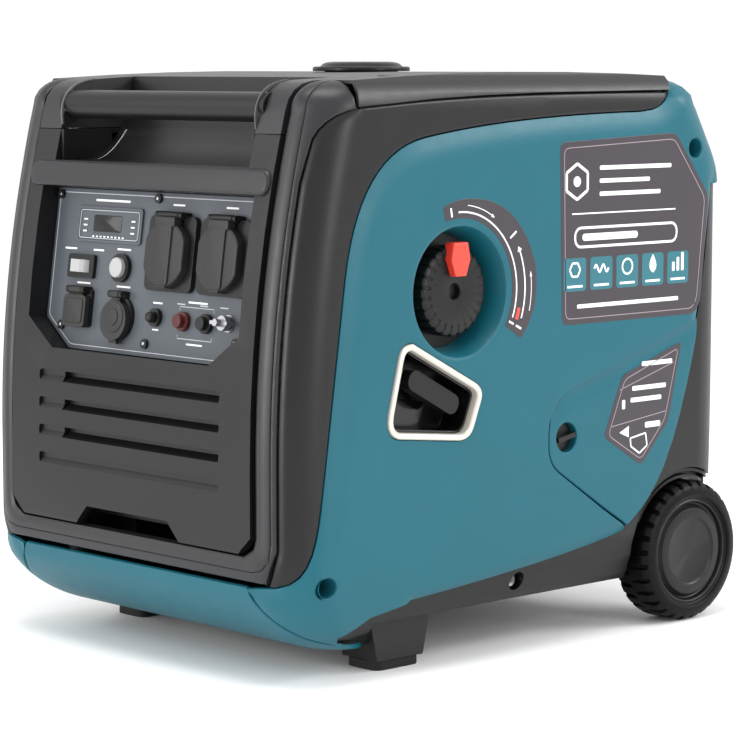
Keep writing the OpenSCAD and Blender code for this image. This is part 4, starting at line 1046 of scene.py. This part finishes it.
def dial():
    """A moulded dial: a smooth face with a centre hole, short ribs at its rim and a grooved side."""
    count, ribs = 384, 24
    profile = [(182, 30), (182, 36), (183, 37), (193, 37), (195.5, 36.2), (196.8, 34.6), (197.5, 32),
               (197.7, 28.2), (197.9, 27.6), (198.2, 12), (197.6, 7.4), (196.6, 6.4), (192, 6.0), (192, 0.01)]
    verts = []
    for k, (x, r) in enumerate(profile):
        for i in range(count):
            angle = FULL_TURN * i / count
            wave = 0.5 + 0.5 * math.cos(ribs * angle)
            cut = min(1, max(0, wave - 0.12) * 5)
            dip = 1.2 * (1 - cut) if 2 <= k <= 5 else 0
            sink = 0.8 * (1 - cut) if k in (6, 7) else 0
            verts.append(((x - sink) * MM, (DIAL_AT[0] + (r - dip) * math.cos(angle)) * MM,
                          (DIAL_AT[1] + (r - dip) * math.sin(angle)) * MM))
    faces = ring_faces(len(profile), count)
    faces.append(tuple(reversed(range(count))))
    mesh_piece("dial_moulding", verts, faces, BLACK, "dial", ("dial_knob",), 28)


# ---------- wheels ----------

AXLE = (208.0, 62.0)
LUGS = 30


def wheel(side, sign):
    """A tyre with staggered lugs and a rounded sidewall, on a dished plastic hub."""
    count = LUGS * 12
    profile = [(168, 46), (167, 52), (168, 57), (171, 61.0), (174, 62), (180, 62), (186, 62), (187, 62), (193, 62),
               (200, 62), (203, 61.0), (206, 58.0), (207.6, 54), (207.9, 50.5), (207.0, 48.6), (206.0, 48.4),
               (205.4, 47.4), (204.8, 46.2)]
    verts = []
    for k, (x, r) in enumerate(profile):
        for i in range(count):
            angle = FULL_TURN * i / count
            phase = (i / 12 + (0.5 if k >= 7 else 0)) % 1
            dip = 2.6 if 3 <= k <= 10 and k not in (6, 7) and phase < 0.26 else 0
            verts.append((sign * x * MM, (AXLE[0] + (r - dip) * math.cos(angle)) * MM,
                          (AXLE[1] + (r - dip) * math.sin(angle)) * MM))
    faces = ring_faces(len(profile), count, sign < 0)
    mesh_piece(f"tyre_moulding_{side}", verts, faces, TYRE, f"wheel_{side}", (f"tyre_{side}",), 30)
    dish = [(168, 8), (168, 46), (204.8, 46), (205.2, 45.2), (204.6, 44), (201.4, 42.6), (200.8, 41.4), (202.4, 39.4),
            (204.6, 38.2), (205.2, 36.8), (205.2, 30.4), (204.2, 29.2), (203.6, 27.6), (203.8, 0.01)]
    lathe(f"hub_moulding_{side}", [(sign * x, r) for x, r in dish], (0, *AXLE), (1, 0, 0), BLACK, f"wheel_{side}",
          (f"hub_{side}",), 96, 28)


def arch_lip(side, sign):
    """The wheel arch over a tyre: a curved liner, a flange above it and a plate at the rear."""
    verts, steps = [], 24
    for i in range(steps + 1):
        angle = math.radians(60 + 92 * i / steps)
        y = AXLE[0] + 65.5 * math.cos(angle)
        edge = 194.0 - max(0.0, y - 230.0) * 0.4
        for x, rad in ((158, 64.4), (edge, 64.4), (edge, 66.8), (158, 66.8)):
            verts.append(Vector((sign * x, AXLE[0] + rad * math.cos(angle), AXLE[1] + rad * math.sin(angle))) * MM)
    faces = ring_faces(steps + 1, 4, sign < 0)
    ends = [(3, 2, 1, 0), tuple(steps * 4 + j for j in range(4))]
    faces += ends if sign > 0 else [f[::-1] for f in ends]
    mesh_piece(f"wheel_well_{side}", verts, faces, BLACK, "machine", (), 40)
    flange = [(AXLE[0] + rad * math.cos(math.radians(t)), AXLE[1] + rad * math.sin(math.radians(t)))
              for rad, turns in ((65.2, range(62, 151, 4)), (77, range(150, 65, -4))) for t in turns]
    slabs(f"arch_lip_{side}", [(flange, 183, 187, 0.6)], lambda y, z, h: Vector((sign * h, y, z)), BLACK,
          "machine")
    plate = [(112, 86), (163, 86), (163, 117.6), (191, 117.6), (191, 130), (112, 130)]
    slabs(f"arch_back_{side}", [(plate, 0, 2.6, 0.5)], lambda x, z, h: Vector((sign * x, 238.6 + h, z)), BLACK,
          "machine")


def on_front(x, z, h):
    """A point h in front of the front panel."""
    return Vector((x, float(lean(z)) - h, z))


def front_trim():
    """The rounded crossbar over the controls, a pale strip inside each handle bracket and a pale line along the scoop,
    both painted highlights.
    """
    slabs("crossbar_skin", [(soft_box((0, 399), (308, 21), 9, 8), -4, 3.2, 3.0)], on_front, GRAPHITE, "machine")
    for side, sign in (("right", 1), ("left", -1)):
        # painted highlight: a pale strip on the bracket's inner chamfer where light catches it
        lip = stroke(bend((-196, 478), (-236, 475), (-230, 440), 10), 2.4)
        slabs(f"bracket_highlight_{side}", [(lip, 0, 1.6, 0.7)],
              lambda y, z, h: Vector((sign * (126.2 - h), y, z)), PAINTED_HIGHLIGHT_GREY, "handle")
    # painted highlight: a thin pale tube along the scoop's curved fillet where light catches it
    scoop = [(-214 + 14 * t, 410 + 26 * t * t, -106 + 30 * t) for t in [i / 12 for i in range(13)]]
    verts, count = [], 8
    for y, z, x in scoop:
        for i in range(count):
            angle = FULL_TURN * i / count
            verts.append(Vector((x + 1.1 * math.cos(angle), y + 1.1 * math.sin(angle), z)) * MM)
    faces = ring_faces(len(scoop), count)
    faces += [tuple(reversed(range(count))), tuple(range((len(scoop) - 1) * count, len(scoop) * count))]
    mesh_piece("scoop_highlight", verts, faces, PAINTED_HIGHLIGHT_GREY, "machine")


def split_terminals():
    """The right-hand parallel terminal is black; the left one is dark red."""
    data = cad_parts["parallel_terminals"].data
    data.materials.append(BLACK)
    for face in data.polygons:
        face.material_index = 1 if face.center.x > 61.5 * MM else 0


def roof_tab():
    """The small tab on the right of the top cover, in front of the fuel cap."""
    # the tab is drawn in the same pale grey as the painted highlights
    slabs("roof_tab", [(soft_box((166, -125), (7, 22), 3), -3, 2.0, 1.0)], lambda x, y, h: Vector((x, y, 480.6 + h)),
          PAINTED_HIGHLIGHT_GREY, "machine")


def make_details():
    front_trim()
    roof_tab()
    starter()
    split_terminals()
    main_label()
    door_label()
    dial_label()
    ac_lids()
    plate_print()
    dial()
    for side, sign in (("right", 1), ("left", -1)):
        wheel(side, sign)
        arch_lip(side, sign)


make_camera()
make_studio()
carry_nodes()
make_shells()
make_details()
